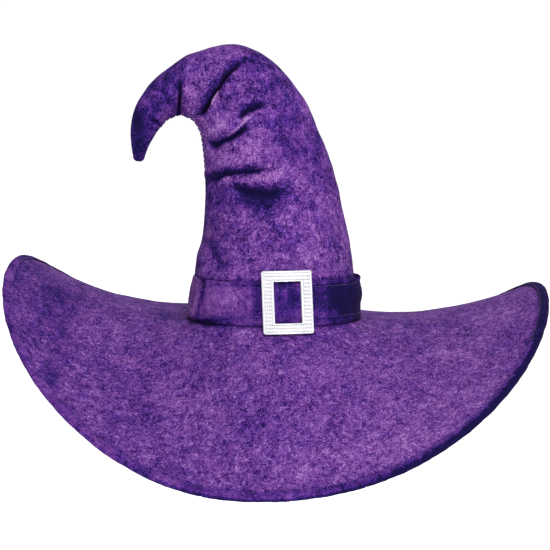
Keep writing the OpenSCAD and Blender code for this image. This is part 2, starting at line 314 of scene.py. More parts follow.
def velvet(name, seed=0.0, bias=0.0, coarse=1.0, fine=1.0):
    """crushed velour: pile pressed flat in patches that look light or dark, with a fine pile grain"""
    M = Mat(name)
    rest = M.attr("rest").outputs["Vector"]
    off = M.n("ShaderNodeVectorMath", operation="ADD")
    M.link(rest, off.inputs[0])
    off.inputs[1].default_value = (seed, seed * 0.7, -seed * 0.4)
    v = off.outputs[0]
    # the cloth was crushed wet, so the patches are torn and streaky rather than round
    warp = M.n("ShaderNodeVectorMath", operation="MULTIPLY_ADD")
    wn = M.n("ShaderNodeTexNoise")
    M.link(v, wn.inputs["Vector"])
    wn.inputs["Scale"].default_value = 130
    wn.inputs["Detail"].default_value = 3
    wn.inputs["Roughness"].default_value = 0.65
    M.link(wn.outputs["Color"], warp.inputs[0])
    warp.inputs[1].default_value = (0.010, 0.010, 0.010)
    M.link(v, warp.inputs[2])
    w = warp.outputs[0]
    nap_and_painted_shade = M.attr("nap_and_painted_shade").outputs["Fac"]           # broad light and dark places: the pile's own patches and painted light and shade
    calm = M.mapr(nap_and_painted_shade, -0.5, 0.0, 0.62, 1.0)     # where the pile lies flat and where shade is painted, less grain shows
    tall = M.scaled(w, (1.0, 1.0, 0.6))
    t = None
    for scale, detail, rough, amount, src in ((14, 1.0, 0.5, 0.34 * coarse, v), (40, 1.0, 0.5, 0.40 * coarse, w), (95, 1.0, 0.6, 0.58 * coarse, w),
                                              (210, 1.0, 0.8, 0.74 * fine, tall), (440, 1.0, 0.9, 1.1 * fine, w), (800, 1.0, 0.9, 1.3 * fine, v)):
        n = M.math("MULTIPLY", M.math("SUBTRACT", M.noise(src, scale, detail, rough), 0.5), amount)
        if scale > 200:
            n = M.math("MULTIPLY", n, calm)
        t = n if t is None else M.math("ADD", t, n)
        if scale == 95:
            broad = t
        if scale == 210:
            mid = t
    # thin torn wisps between the crushed patches, dark ones and a few light ones
    for sc_, width, m_sc, lo, hi, amount in ((78, 0.034, 36, 0.44, 0.60, -0.30), (120, 0.030, 52, 0.48, 0.62, -0.20), (96, 0.026, 44, 0.50, 0.66, 0.20)):
        shifted = M.n("ShaderNodeVectorMath", operation="ADD")
        M.link(w, shifted.inputs[0])
        shifted.inputs[1].default_value = (sc_ * 0.011, sc_ * 0.007, 0.3)
        d = M.math("ABSOLUTE", M.math("SUBTRACT", M.noise(shifted.outputs[0], sc_, 2.0, 0.55), 0.5))
        line = M.math("MULTIPLY", M.mapr(d, 0.0, width, 1.0, 0.0), M.mapr(M.noise(shifted.outputs[0], m_sc, 1.0, 0.5), lo, hi))
        wisp = M.math("MULTIPLY", line, amount * coarse)
        t = M.math("ADD", t, wisp)
        mid = M.math("ADD", mid, wisp)
    t = M.math("ADD", t, M.math("ADD", nap_and_painted_shade, 0.487 + bias), clamp=True)
    cr = ramp(M.nt, [(p, tuple(c * DYE for c in srgb(*col))) for p, col in VELVET_STOPS])
    M.link(t, cr.inputs["Fac"])
    # darker places lean to indigo, lighter ones to a warmer violet; both the pile's pressed patches and the painted
    # shade count
    hue = ramp(M.nt, [(0.22, (0.80, 0.94, 1.14)), (0.48, (0.99, 1.0, 1.01)), (0.75, (1.05, 1.0, 0.96))])
    tone = M.math("ADD", M.math("ADD", M.math("MULTIPLY", nap_and_painted_shade, 0.8), broad), M.math("MULTIPLY", M.math("SUBTRACT", M.noise(w, 62, 2.0, 0.6), 0.5), 0.5))
    M.link(M.math("ADD", tone, 0.5, clamp=True), hue.inputs["Fac"])
    M.link(M.mix(1.0, cr.outputs["Color"], hue.outputs["Color"], "MULTIPLY"), M.b.inputs["Base Color"])
    M.link(M.mapr(t, 0, 1, 0.92, 0.62), M.b.inputs["Roughness"])
    n1 = M.bump(mid, 0.5, 0.004)
    n2 = M.bump(M.noise(v, 700, 2.0, 0.8), 0.5, 0.0008, n1)
    M.link(n2, M.b.inputs["Normal"])
    M.set(Sheen_Weight=0.03, Sheen_Roughness=0.4, Sheen_Tint=(0.8, 0.4, 0.9), Specular_IOR_Level=0.02)
    return M.m


def weave(name, base, light, pitch_mm=0.6, rough=0.8, sheen=0.2, rib=None, attr="rest"):
    """plain woven cloth: crossing threads, with a little unevenness"""
    M = Mat(name)
    rest = M.attr(attr).outputs["Vector"]
    k = 1000 / pitch_mm
    sep = M.n("ShaderNodeSeparateXYZ")
    M.link(M.scaled(rest, k * math.pi), sep.inputs[0])
    a = M.math("SINE", sep.outputs[0])
    b = M.math("SINE", sep.outputs[2] if rib is None else sep.outputs[2])
    w = M.math("MULTIPLY", a, b) if rib is None else b
    w = M.mapr(w, -1, 1)
    n = M.noise(rest, 240, 3.0, 0.6)
    t = M.math("ADD", M.math("MULTIPLY", w, 0.35), M.math("MULTIPLY", n, 0.65))
    M.link(M.mix(t, base, light), M.b.inputs["Base Color"])
    M.link(M.mapr(n, 0.3, 0.7, rough, rough - 0.15), M.b.inputs["Roughness"])
    M.link(M.bump(w, 0.5, 0.0003), M.b.inputs["Normal"])
    M.set(Sheen_Weight=sheen, Sheen_Roughness=0.5, Specular_IOR_Level=0.25)
    return M.m


def object_coords(M):
    return M.n("ShaderNodeTexCoord").outputs["Object"]


def foam_mat(name, a, b):
    M = Mat(name)
    v = object_coords(M)
    vo = M.n("ShaderNodeTexVoronoi")
    M.link(v, vo.inputs["Vector"])
    vo.inputs["Scale"].default_value = 900
    n = M.noise(v, 60, 3)
    M.link(M.mix(n, a, b), M.b.inputs["Base Color"])
    M.link(M.mapr(n, 0.3, 0.7, 0.95, 0.8), M.b.inputs["Roughness"])
    M.link(M.bump(vo.outputs["Distance"], 0.6, 0.0006), M.b.inputs["Normal"])
    M.set(Specular_IOR_Level=0.15)
    return M.m


def thread_mat(name, a, b):
    M = Mat(name)
    v = object_coords(M)
    w = M.n("ShaderNodeTexWave", wave_type="BANDS", bands_direction="DIAGONAL")
    M.link(v, w.inputs["Vector"])
    w.inputs["Scale"].default_value = 1400
    n = M.noise(v, 500, 2)
    M.link(M.mix(n, a, b), M.b.inputs["Base Color"])
    M.link(M.mapr(n, 0.3, 0.7, 0.7, 0.5), M.b.inputs["Roughness"])
    M.link(M.bump(w.outputs["Fac"], 0.4, 0.0002), M.b.inputs["Normal"])
    M.set(Sheen_Weight=0.2, Specular_IOR_Level=0.3)
    return M.m


def metal_mat(name, a, b, rough=0.35):
    M = Mat(name)
    v = object_coords(M)
    n = M.noise(v, 400, 3, 0.6)
    s = M.noise(M.scaled(v, (60, 60, 900)), 3, 2)
    M.link(M.mix(n, a, b), M.b.inputs["Base Color"])
    M.link(M.mapr(n, 0.3, 0.7, rough - 0.08, rough + 0.12), M.b.inputs["Roughness"])
    M.link(M.bump(s, 0.25, 0.0001), M.b.inputs["Normal"])
    M.set(Metallic=1.0)
    return M.m


def buckle_mat(name):
    M = Mat(name)
    v = object_coords(M)
    n = M.noise(v, 35, 4, 0.6)
    f = M.noise(v, 420, 3, 0.6)
    groove_painted_shade = M.attr("groove_painted_shade").outputs["Fac"]
    c = M.mix(n, (0.50, 0.50, 0.53), (0.58, 0.58, 0.595))
    # painted shade: dark grey-green in the pits between beads and the channels by the rims
    c = M.mix(M.math("MULTIPLY", groove_painted_shade, M.mapr(f, 0.35, 0.75, 0.6, 1.0)), c, (0.085, 0.095, 0.085))
    M.link(c, M.b.inputs["Base Color"])
    M.link(M.mapr(M.math("ADD", M.math("MULTIPLY", n, 0.6), M.math("MULTIPLY", f, 0.4)), 0.3, 0.7, 0.2, 0.42), M.b.inputs["Roughness"])
    M.link(M.bump(f, 0.12, 0.00025), M.b.inputs["Normal"])
    M.set(Metallic=0.25, Coat_Weight=0.35, Coat_Roughness=0.12, Specular_IOR_Level=0.5)
    return M.m


MAT_CROWN = velvet("velour_crown", seed=3.1, coarse=1.1, fine=1.15)
MAT_BRIM = velvet("velour_brim", seed=7.7, coarse=0.8, fine=1.2)
MAT_UNDER = velvet("velour_under", seed=12.3, coarse=0.9, fine=1.2)
MAT_BIND = velvet("velour_binding", seed=1.9, coarse=0.8, fine=0.75)
MAT_BAND = velvet("velour_band", seed=5.4, fine=0.7)
MAT_FOAM = foam_mat("foam", (0.42, 0.42, 0.44), (0.56, 0.56, 0.57))
MAT_WADDING = foam_mat("fibre_wadding", (0.7, 0.7, 0.68), (0.85, 0.85, 0.83))
MAT_LINING = weave("lining_weave", srgb(30, 22, 48), srgb(58, 45, 84), 0.55, 0.62, 0.3)
MAT_SWEAT = weave("sweatband_ribbon", srgb(18, 15, 26), srgb(48, 42, 60), 1.1, 0.7, 0.25, rib=True, attr="flat")
MAT_LABEL = weave("label_satin", srgb(196, 196, 192), srgb(226, 225, 220), 0.4, 0.5, 0.2)
MAT_TAPE = weave("elastic_tape", srgb(170, 170, 168), srgb(215, 214, 210), 0.8, 0.8, 0.1)
MAT_THREAD = thread_mat("thread", srgb(60, 34, 110), srgb(104, 66, 150))
MAT_THREAD_DARK = thread_mat("thread_dark", srgb(26, 22, 44), srgb(52, 44, 76))
MAT_WIRE = metal_mat("wire_steel", (0.42, 0.43, 0.45), (0.6, 0.6, 0.62))
MAT_FERRULE = metal_mat("ferrule_brass", (0.55, 0.42, 0.2), (0.72, 0.6, 0.32))
MAT_BUCKLE = buckle_mat("buckle_plastic")


def give(ob, mat):
    ob.data.materials.clear()
    ob.data.materials.append(mat)
    return ob


# ------------------------------------------------------------------ crown: base surface
def rib_at(u):
    u = np.clip(np.asarray(u, float), 0, len(RIBS) - 1)
    i = np.minimum(np.floor(u).astype(int), len(RIBS) - 2)
    f = (u - i)[:, None]
    ext = np.concatenate([[2 * RIBS[0] - RIBS[1]], RIBS, [2 * RIBS[-1] - RIBS[-2]]])
    p0, p1, p2, p3 = ext[i], ext[i + 1], ext[i + 2], ext[i + 3]
    return 0.5 * (2 * p1 + (p2 - p0) * f + (2 * p0 - 5 * p1 + 4 * p2 - p3) * f ** 2 + (3 * p1 - p0 - 3 * p2 + p3) * f ** 3)


U_MAX = len(RIBS) - 1
uu = np.linspace(0, U_MAX, 3000)
rr = rib_at(uu)
seg_o = np.hypot(np.diff(rr[:, 2]), np.diff(rr[:, 3]))
seg_i = np.hypot(np.diff(rr[:, 0]), np.diff(rr[:, 1]))
arc = np.concatenate([[0], np.cumsum(0.62 * seg_o + 0.38 * seg_i)])
NROW = 440
NCOL = 420
row_u = np.interp(np.linspace(0, arc[-1], NROW), arc, uu)
vcol = np.linspace(-1, 1, NCOL, endpoint=False)
col_a = np.radians(180 + 180 * np.sign(vcol) * np.abs(vcol) * (0.42 + 0.58 * np.abs(vcol)))


def crown_surface(u, a):
    R = rib_at(u)
    dx, dz = R[:, 2] - R[:, 0], R[:, 3] - R[:, 1]
    w = np.hypot(dx, dz) / 2
    ex, ez = dx / w / 2, dz / w / 2
    c, s = np.cos(a)[None, :], np.sin(a)[None, :]
    X = ((R[:, 0] + R[:, 2]) / 2)[:, None] + (ex * w)[:, None] * c
    Z = ((R[:, 1] + R[:, 3]) / 2)[:, None] + (ez * w)[:, None] * c
    Y = R[:, 4][:, None] * s
    return np.stack([X, Y, Z], -1)


def polyline_dist(q, pts):
    """distance to a polyline, place along it from 0 to 1, and the side (+1 left of its direction, in a y-down picture)"""
    pts = np.asarray(pts, float)
    seg = np.diff(pts, axis=0)
    ln = np.hypot(seg[:, 0], seg[:, 1])
    cum = np.concatenate([[0], np.cumsum(ln)])
    best = np.full(q.shape[:-1], 1e9)
    tt = np.zeros(q.shape[:-1])
    sd = np.ones(q.shape[:-1])
    for k in range(len(seg)):
        d = q - pts[k]
        t = np.clip((d @ seg[k]) / (ln[k] ** 2), 0, 1)
        e = d - t[..., None] * seg[k]
        dist = np.hypot(e[..., 0], e[..., 1])
        side = np.sign(seg[k][0] * d[..., 1] - seg[k][1] * d[..., 0])
        m = dist < best
        best = np.where(m, dist, best)
        tt = np.where(m, (cum[k] + t * ln[k]) / cum[-1], tt)
        sd = np.where(m, side, sd)
    return best, tt, sd


# creases of the crown in the picture's frame: points, depth mm, half width px, lip mm (left side, right side), taper
# (start, end); dark is painted shade in the crease, and a painted highlight where it is negative
FOLDS = [
    # long dark fold over the bend
    dict(p=[(200, 118), (206, 107), (212, 96.5), (218.5, 87.5), (224, 78.5), (231, 70.5), (239, 63), (247, 55.5)], d=12.5, w=3.3, lip=(4.2, 2.6), tap=(0.02, 0.3), dark=1.3),
    # narrow ridge beside it, with a painted highlight
    dict(p=[(211.5, 107), (215, 99.5), (217.8, 94), (221, 88.5)], d=-3.4, w=1.3, lip=(0, 0), tap=(0.3, 0.3), dark=-2.2),
    # upright fold near the tail
    dict(p=[(178.4, 118), (178.8, 106), (178.8, 96), (178.2, 86), (178, 75)], d=8.5, w=3.0, lip=(0.8, 3.6), tap=(0.03, 0.3), dark=1.2),
    # double fold below the bend, with a painted highlight on the ridge between its creases
    dict(p=[(207, 149), (214, 145), (224, 140), (233, 135.2), (243, 128.8), (252, 125)], d=7.6, w=3.4, lip=(2.6, 0.3), tap=(0.14, 0.3), dark=1.3, over=(1.1, 0.1)),
    dict(p=[(224, 136.5), (233, 129.5), (243, 122), (255, 113.8)], d=-3.0, w=1.1, lip=(0, 0), tap=(0.2, 0.3), dark=-1.35),
    dict(p=[(236, 119.5), (241, 115.8), (248, 110.6), (257, 106.8), (268, 104.8)], d=5.4, w=2.2, lip=(2.4, 0.6), tap=(0.2, 0.26), dark=1.15, over=(1.1, 0.1)),
    # folds over the middle of the crown, starting at a pinch near the seam
    dict(p=[(205, 184), (212, 180.2), (219, 175.8), (225, 173.4), (233, 172.6), (246, 172.2), (259, 170.6), (272, 167)], d=6.0, w=2.7, lip=(3.4, 0.4), tap=(0.16, 0.26), dark=1.05, over=(1.1, 0.1)),
    dict(p=[(224.5, 173.5), (230, 177), (237, 180.5)], d=3.4, w=1.8, lip=(0.6, 0.2), tap=(0.1, 0.5), dark=0.85, over=(1, 0)),
    dict(p=[(227, 184), (234, 187.2), (243, 190.8), (252, 193), (262, 193.8), (274, 192.6), (286, 190), (298, 186.5)], d=7.0, w=4.6, lip=(3.4, 0.0), tap=(0.22, 0.36), dark=1.12, over=(0.7, 0)),
    dict(p=[(230, 196), (248, 202), (270, 201), (290, 195)], d=1.6, w=8.0, lip=(0.0, 0.6), tap=(0.3, 0.4), dark=0.5),
    # raised edges beside the upright fold and over the middle one, with painted highlights
    dict(p=[(174.4, 112), (174.4, 98), (174.8, 86)], d=-1.2, w=0.9, lip=(0, 0), tap=(0.3, 0.3), dark=-0.5),
    dict(p=[(258, 168), (266, 166.6), (274, 164.6)], d=-1.0, w=0.9, lip=(0, 0), tap=(0.3, 0.3), dark=-0.55),
    # soft ones
    dict(p=[(254, 96), (268, 91), (285, 82)], d=2.6, w=4.4, lip=(1.4, 1.0), tap=(0.5, 0.5), dark=0.34),
    dict(p=[(211, 153), (222, 151.5), (236, 153), (248, 151)], d=1.6, w=2.6, lip=(1.0, 0.5), tap=(0.4, 0.6), dark=0.3),
    dict(p=[(150, 118.5), (156, 123.5), (162, 128)], d=2.2, w=1.6, lip=(0.8, 0.8), tap=(0.4, 0.3), dark=0.55),
    dict(p=[(190, 118), (194, 104), (199, 90), (206, 76)], d=1.8, w=3.2, lip=(1.0, 1.0), tap=(0.3, 0.6), dark=0.22),
    dict(p=[(206, 196), (222, 203), (242, 213), (262, 214)], d=1.6, w=6.0, lip=(0.4, 0.8), tap=(0.4, 0.5), dark=0.16),
    dict(p=[(204, 236), (210, 250), (218, 264), (224, 279)], d=1.8, w=4.0, lip=(0.8, 1.6), tap=(0.3, 0.3), dark=0.2),
    dict(p=[(236, 66), (228, 74), (222, 84)], d=1.6, w=2.0, lip=(1.2, 0.2), tap=(0.4, 0.4), dark=0.3),
    dict(p=[(268, 70), (276, 82), (280, 96)], d=1.4, w=5.0, lip=(0.6, 0.6), tap=(0.5, 0.5), dark=0.16),
]
# the back has the same kind of folds, a little differently placed
BACK_FOLDS = [
    dict(p=[(200, 117), (208, 106), (217, 96), (228, 86), (240, 74), (252, 66)], d=8.5, w=2.8, lip=(2.6, 2.6), tap=(0.02, 0.5), dark=0.9),
    dict(p=[(184, 117), (186, 104), (187, 92), (186, 80)], d=5.5, w=2.4, lip=(1.4, 2.2), tap=(0.03, 0.5), dark=0.8),
    dict(p=[(203, 146), (216, 144), (232, 138), (250, 130), (266, 122)], d=5.5, w=3.2, lip=(2.4, 1.4), tap=(0.15, 0.45), dark=0.62),
    dict(p=[(206, 176), (218, 175), (234, 177), (252, 175), (272, 168), (288, 160)], d=5.6, w=3.2, lip=(2.8, 1.2), tap=(0.2, 0.5), dark=0.72),
    dict(p=[(216, 180), (230, 190), (248, 198), (268, 199), (290, 193)], d=4.6, w=4.4, lip=(2.4, 0.8), tap=(0.3, 0.5), dark=0.6),
    dict(p=[(246, 104), (262, 97), (280, 86)], d=2.6, w=4.2, lip=(1.2, 0.9), tap=(0.4, 0.5), dark=0.35),
    dict(p=[(206, 214), (224, 222), (246, 226)], d=1.6, w=6.0, lip=(0.6, 0.8), tap=(0.4, 0.5), dark=0.2),
    dict(p=[(160, 122), (163, 110), (164, 98)], d=2.2, w=2.4, lip=(0.8, 0.8), tap=(0.3, 0.5), dark=0.45),
]


def fold_field(q, folds):
    """displacement along the normal in mm, slide across each fold (picture frame, px) and painted shade (negative for a
    painted highlight)
    """
    disp = np.zeros(q.shape[:-1])
    slide = np.zeros(q.shape)
    dark = np.zeros(q.shape[:-1])
    light = np.zeros(q.shape[:-1])
    for f in folds:
        pts = np.asarray(f["p"], float)
        d, t, s = polyline_dist(q, pts)
        tap = smooth(t / max(f["tap"][0], 1e-3) * 0.85 + 0.15) * smooth((1 - t) / max(f["tap"][1], 1e-3))
        w = f["w"]
        val = np.exp(-(d / w) ** 2) * 0.62 + np.exp(-(d / (2.3 * w)) ** 2) * 0.38
        lip = np.where(s > 0, f["lip"][1], f["lip"][0])
        lips = lip * np.exp(-((d - 2.6 * w) / (1.5 * w)) ** 2)
        disp += tap * (-f["d"] * val + lips)
        # the lips lean over the valley
        seg = np.gradient(pts, axis=0)
        tx = np.interp(t, np.linspace(0, 1, len(pts)), seg[:, 0])
        ty = np.interp(t, np.linspace(0, 1, len(pts)), seg[:, 1])
        nn = np.hypot(tx, ty) + 1e-9
        across = np.stack([-ty / nn, tx / nn], -1) * s[..., None]
        over = f.get("over", (1, 1))
        lean = 0.55 * w * (f["d"] / 8) * np.exp(-((d - 1.5 * w) / (1.2 * w)) ** 2) * tap * np.where(s > 0, over[1], over[0])
        slide += -across * lean[..., None]
        k_ = f["dark"] * tap * (np.exp(-(d / (1.05 * w)) ** 2) * 0.75 + np.exp(-(d / (2.4 * w)) ** 2) * 0.25)
        if f["dark"] < 0:
            light = light + k_
        else:
            dark = np.maximum(dark, k_)
    return disp, slide, dark + light


# broad light (+) and dark (-) places on the front of the crown, partly the pile's own patches and partly painted light
# and shade: x, y, radius x, radius y, amount
NAP_AND_SHADE_CROWN = [
    (240, 152, 26, 14, 0.05), (268, 128, 16, 10, -0.05), (290, 130, 12, 30, -0.25), (245, 62, 9, 6, -0.22), (256, 52, 10, 8, -0.12), (225, 58, 20, 9, -0.05),
    (196, 72, 12, 12, 0.12), (190, 98, 9, 16, 0.12), (168, 86, 10, 26, -0.1), (150, 90, 14, 20, -0.35), (140, 140, 12, 26, -0.5), (170, 64, 24, 10, -0.2),
    (218, 128, 13, 15, 0.1), (225, 110, 12, 10, -0.04), (262, 80, 24, 12, -0.08), (240, 96, 14, 8, -0.06), (285, 90, 14, 12, -0.06), (245, 180, 26, 6, 0.2),
    (270, 176, 20, 6, 0.06), (262, 202, 34, 8, -0.24), (222, 190, 14, 12, -0.16), (240, 197, 20, 7, -0.12), (300, 180, 16, 16, 0.06), (318, 195, 10, 40, -0.05),
    (285, 158, 14, 12, -0.02), (225, 215, 18, 8, 0.02), (288, 222, 24, 14, 0.07), (300, 240, 20, 10, 0.04), (232, 238, 16, 10, -0.03), (215, 262, 14, 16, -0.1),
    (234, 260, 16, 12, -0.06), (270, 262, 24, 12, 0.1), (300, 262, 20, 10, 0.08), (334, 250, 10, 22, -0.03), (208, 235, 10, 16, 0.0), (205, 160, 8, 14, 0.03),
    (198, 258, 6, 20, -0.1), (204, 200, 5, 24, -0.1), (330, 200, 8, 40, 0.0), (322, 150, 8, 20, 0.02), (310, 148, 14, 16, -0.25), (262, 60, 12, 12, -0.1),
    (235, 78, 12, 10, -0.03), (300, 105, 10, 20, 0), (312, 165, 9, 16, 0), (272, 112, 12, 9, 0), (230, 48, 14, 5, 0), (152, 72, 12, 10, 0),
    (136, 118, 7, 16, -0.3), (216, 206, 9, 8, 0), (206, 250, 9, 12, 0), (320, 235, 12, 16, 0), (250, 270, 16, 6, 0), (149, 119, 12, 12, -0.3),
]
# broad light (+) and dark (-) places on the brim's top, partly the pile's own patches and partly painted light and
# shade, such as a painted shadow under the band's left corner and painted light beside the band: x, y, radius x, radius
# y, amount
NAP_AND_SHADE_BRIM = [
    (20, 285, 14, 26, -0.08), (40, 262, 26, 8, -0.15), (60, 330, 14, 24, -0.25), (46, 300, 14, 20, -0.15), (75, 295, 22, 16, -0.15), (100, 325, 40, 16, 0.03),
    (170, 312, 26, 8, -0.15), (212, 321, 16, 4, -0.2), (52, 372, 10, 24, -0.3), (84, 400, 10, 16, -0.03), (120, 385, 24, 14, -0.1), (95, 412, 12, 12, 0.08),
    (112, 420, 10, 14, -0.07), (150, 410, 8, 16, -0.08), (176, 400, 26, 20, 0.06), (160, 362, 24, 12, -0.03), (230, 355, 24, 14, 0.03), (300, 352, 20, 10, -0.02),
    (250, 430, 20, 12, -0.05), (200, 430, 20, 20, 0.04), (340, 425, 30, 20, 0.05), (330, 375, 20, 12, -0.03), (350, 455, 40, 16, 0.08), (420, 420, 40, 30, 0.08),
    (480, 370, 30, 34, 0.08), (470, 310, 40, 12, 0.03), (400, 300, 30, 10, 0.06), (420, 330, 40, 16, -0.01), (538, 320, 8, 40, -0.04), (170, 470, 30, 14, -0.03),
    (250, 488, 30, 10, -0.04), (300, 480, 30, 10, 0.0), (130, 450, 30, 14, 0.0), (500, 395, 16, 16, -0.05), (350, 320, 30, 6, -0.12), (30, 335, 12, 18, -0.2),
    (60, 352, 12, 14, 0), (140, 345, 16, 10, 0), (158, 392, 8, 14, 0), (134, 402, 9, 12, 0), (270, 340, 30, 8, 0), (440, 352, 30, 12, 0),
    (392, 362, 24, 12, 0), (440, 300, 30, 7, 0), (505, 340, 18, 14, 0), (380, 440, 24, 14, 0), (300, 458, 24, 12, 0), (242, 325, 18, 4, 0.28), (352, 322, 8, 5, 0.3),
]


def nap_and_shade_field(q, blobs):
    r = np.zeros(q.shape[:-1])
    for x, y, rx, ry, a in blobs:
        r += a * np.exp(-(((q[..., 0] - x) / rx) ** 2 + ((q[..., 1] - y) / ry) ** 2))
    return r


SCULPT = [(-112, 296, 32, 1.9, -2.8), (-66, 316, 22, 0.4, -2.0), (-98, 304, 12, 0.0, 1.4), (52, 222, 30, -1.9, -0.6), (78, 138, 22, -1.4, 0),
          (-130, 226, 9, 2.6, -1.6), (-116, 234, 9, 0.3, -1.8), (-138, 213, 10, 2.6, 0), (-88, 228, 9, -2.6, -1.2), (86, 74, 20, 1.9, 0), (88, 100, 16, 0.6, 0), (-88, 70, 18, -1.6, 0)]
P0 = crown_surface(row_u, col_a)
# small moves of the whole shape: centre x, z, reach, move x, z
MOVE = np.zeros(P0.shape)
for mx, mz, mr, vx, vz in SCULPT:
    k_ = np.exp(-(((P0[..., 0] - mx) ** 2 + (P0[..., 2] - mz) ** 2) / mr ** 2))
    MOVE[..., 0] += vx * k_
    MOVE[..., 2] += vz * k_
N0 = grid_normals(P0)
# outward is away from each rib's middle
mid = P0.mean(1, keepdims=True)
if ((P0 - mid) * N0).sum() < 0:
    N0 = -N0
q0 = project(P0)
front = smooth(0.5 - P0[..., 1] / 14.0)
df, sf, kf = fold_field(q0, FOLDS)
db, sb, kb = fold_field(q0, BACK_FOLDS)
disp = lerp(db, df, front)
slide = lerp(sb, sf, front[..., None])
dark = lerp(kb, kf, front)
# below the band's top the crown is held smooth
free = smooth((P0[..., 2] - 52) / 14)
disp *= free
slide *= free[..., None]
# the folds run out at the seam on the inner side of the bend
wd0 = np.linalg.norm(P0 - P0[:, NCOL // 2][:, None], axis=-1)
at_seam = 0.12 + 0.88 * smooth(wd0 / 11.0)
disp *= at_seam
slide *= at_seam[..., None]
# soft unevenness of stuffed cloth
wob = fbm(P0, 55, 5, 2) * 1.1 + fbm(P0 * np.array([1, 1, 1.6]), 22, 9, 2) * 0.45
tail = smooth((row_u - 12) / 4)[:, None]
disp += (wob - 0.5) * free * (1 - 0.6 * tail) * (0.3 + 0.7 * at_seam)
P = P0 + N0 * disp[..., None]
P[..., 0] += slide[..., 0] * 1.1
P[..., 2] -= slide[..., 1] * 1.1
# the cloth slumps over the band's top edge on the left of the front
az = np.degrees(np.arctan2(P0[..., 1], P0[..., 0])) % 360
win = smooth((az - 196) / 12) * smooth((250 - az) / 14)
zz0 = P0[..., 2]
roll = np.exp(-((zz0 - 60) / 5.5) ** 2) * win
hang = smooth((zz0 - 55.5) / 2.5) * np.exp(-((zz0 - 57.5) / 5.5) ** 2) * win
rad = normalise(P0 * np.array([1, 1, 0]))
P += rad * (4.6 * roll)[..., None]
P[..., 2] -= 4.0 * hang
# gathered seam along the inner side of the bend
inner_arc = np.concatenate([[0], np.cumsum(np.linalg.norm(np.diff(P0[:, NCOL // 2], axis=0), axis=1))])
inner_arc = np.interp(np.arange(NROW), np.arange(NROW), inner_arc)
gath = smooth((row_u - 6.3) / 0.6) * smooth((15.2 - row_u) / 1.2)
wdist = np.linalg.norm(P - P[:, NCOL // 2][:, None], axis=-1)
jit = 0.7 * noise3(np.stack([inner_arc, inner_arc * 0, inner_arc * 0], -1), 9, 3)
ph = 2 * np.pi * (inner_arc + jit) / 3.1
pucker = (np.cos(ph)[:, None] * 0.55 * np.exp(-(wdist / 5.0) ** 1.5) + 0.35 * np.cos(ph * 0.5 + 1.0)[:, None] * np.exp(-(wdist / 9.0) ** 2)) * gath[:, None]
groove = -0.9 * np.exp(-(wdist / 0.8) ** 2) * (0.35 + 0.65 * gath)[:, None]
P += N0 * (pucker + groove)[..., None]
P += MOVE
# light smoothing so that no fold is jagged
for _ in range(2):
    Q = P.copy()
    Q[1:-1] = P[1:-1] * 0.6 + 0.1 * (P[:-2] + P[2:]) + 0.1 * (np.roll(P, 1, 1) + np.roll(P, -1, 1))[1:-1]
    P = Q
# round end of the tail
NCAP = 10
ring = P[-1]
cen = ring.mean(0)
axis_dir = normalise((P[-1] - P[-6]).mean(0))
caps = []
for k in range(1, NCAP + 1):
    t = k / NCAP * math.pi / 2
    caps.append(cen + (ring - cen) * max(math.cos(t), 0.02) ** 0.8 + axis_dir * 6.0 * math.sin(t))
P = np.concatenate([P, np.array(caps)])
rest = np.concatenate([P0, np.array(caps)])
darkf = np.concatenate([dark, np.repeat(dark[-1:], NCAP, 0)])
dispf = np.concatenate([disp, np.repeat(disp[-1:] * 0, NCAP, 0)])
qq = project(P)
frontf = np.concatenate([front, np.repeat(front[-1:], NCAP, 0)])
# the crown's colour attribute: the listed patches plus the painted shade and painted highlights of the folds
nap_and_painted_shade = nap_and_shade_field(qq, NAP_AND_SHADE_CROWN) * lerp(0.7, 1.0, frontf) - 0.58 * darkf
# painted shade along the seam's groove on the inner side of the bend
seam_dark = np.exp(-(np.concatenate([wdist, np.repeat(wdist[-1:], NCAP, 0)]) / 1.6) ** 2) * 0.22
nap_and_painted_shade = nap_and_painted_shade - seam_dark
# painted light and shade: lighter where a fold turns the surface up towards the lamps, darker where it turns under
Nf = grid_normals(P[:NROW])
if (Nf * N0).sum() < 0:
    Nf = -Nf
relief = ((Nf - N0) * normalise(np.array([-0.15, -0.3, 0.94]))).sum(-1)
for _ in range(4):
    relief = (np.roll(relief, 1, 1) + np.roll(relief, -1, 1) + 2 * relief) / 4
    relief[1:-1] = (relief[:-2] + relief[2:] + 2 * relief[1:-1]) / 4
relief = np.concatenate([np.clip(relief, -0.7, 0.5), np.zeros((NCAP, NCOL))])
nap_and_painted_shade = nap_and_painted_shade + 0.30 * relief
# painted shade on the crown's base, which lies under the band
nap_and_painted_shade -= 0.5 * smooth((12 - P[..., 2]) / 4)
# painted shade along the band's top edge, weaker where the cloth slumps over it
nap_and_painted_shade -= 0.3 * np.exp(-((P[..., 2] - 55) / 3.0) ** 2) * (1 - 0.8 * np.concatenate([win, np.repeat(win[-1:], NCAP, 0)]))


def crown_piece(name, P, mat, thick, attrs, start_row=0):
    nr, nc = P.shape[:2]
    faces = grid_faces(nr, nc, True)
    verts = P.reshape(-1, 3)
    # close the very end
    verts = np.concatenate([verts, P[-1].mean(0)[None]])
    tip = [[(nr - 1) * nc + i, (nr - 1) * nc + (i + 1) % nc, nr * nc] for i in range(nc)]
    at = {}
    for k, v in attrs.items():
        v = np.asarray(v)
        flatv = v.reshape(-1, 3) if v.ndim == 3 else v.reshape(-1)
        last = v[-1].mean(0)
        at[k] = np.concatenate([flatv, last[None] if v.ndim == 3 else [last]])
    fl = faces.tolist() + tip
    ob = new_mesh(name, verts, fl, attrs=at)
    bm = bmesh.new()
    bm.from_mesh(ob.data)
    bmesh.ops.recalc_face_normals(bm, faces=bm.faces)
    bm.to_mesh(ob.data)
    bm.free()
    give(ob, mat)
    if thick:
        solidify(ob, thick)
    return ob


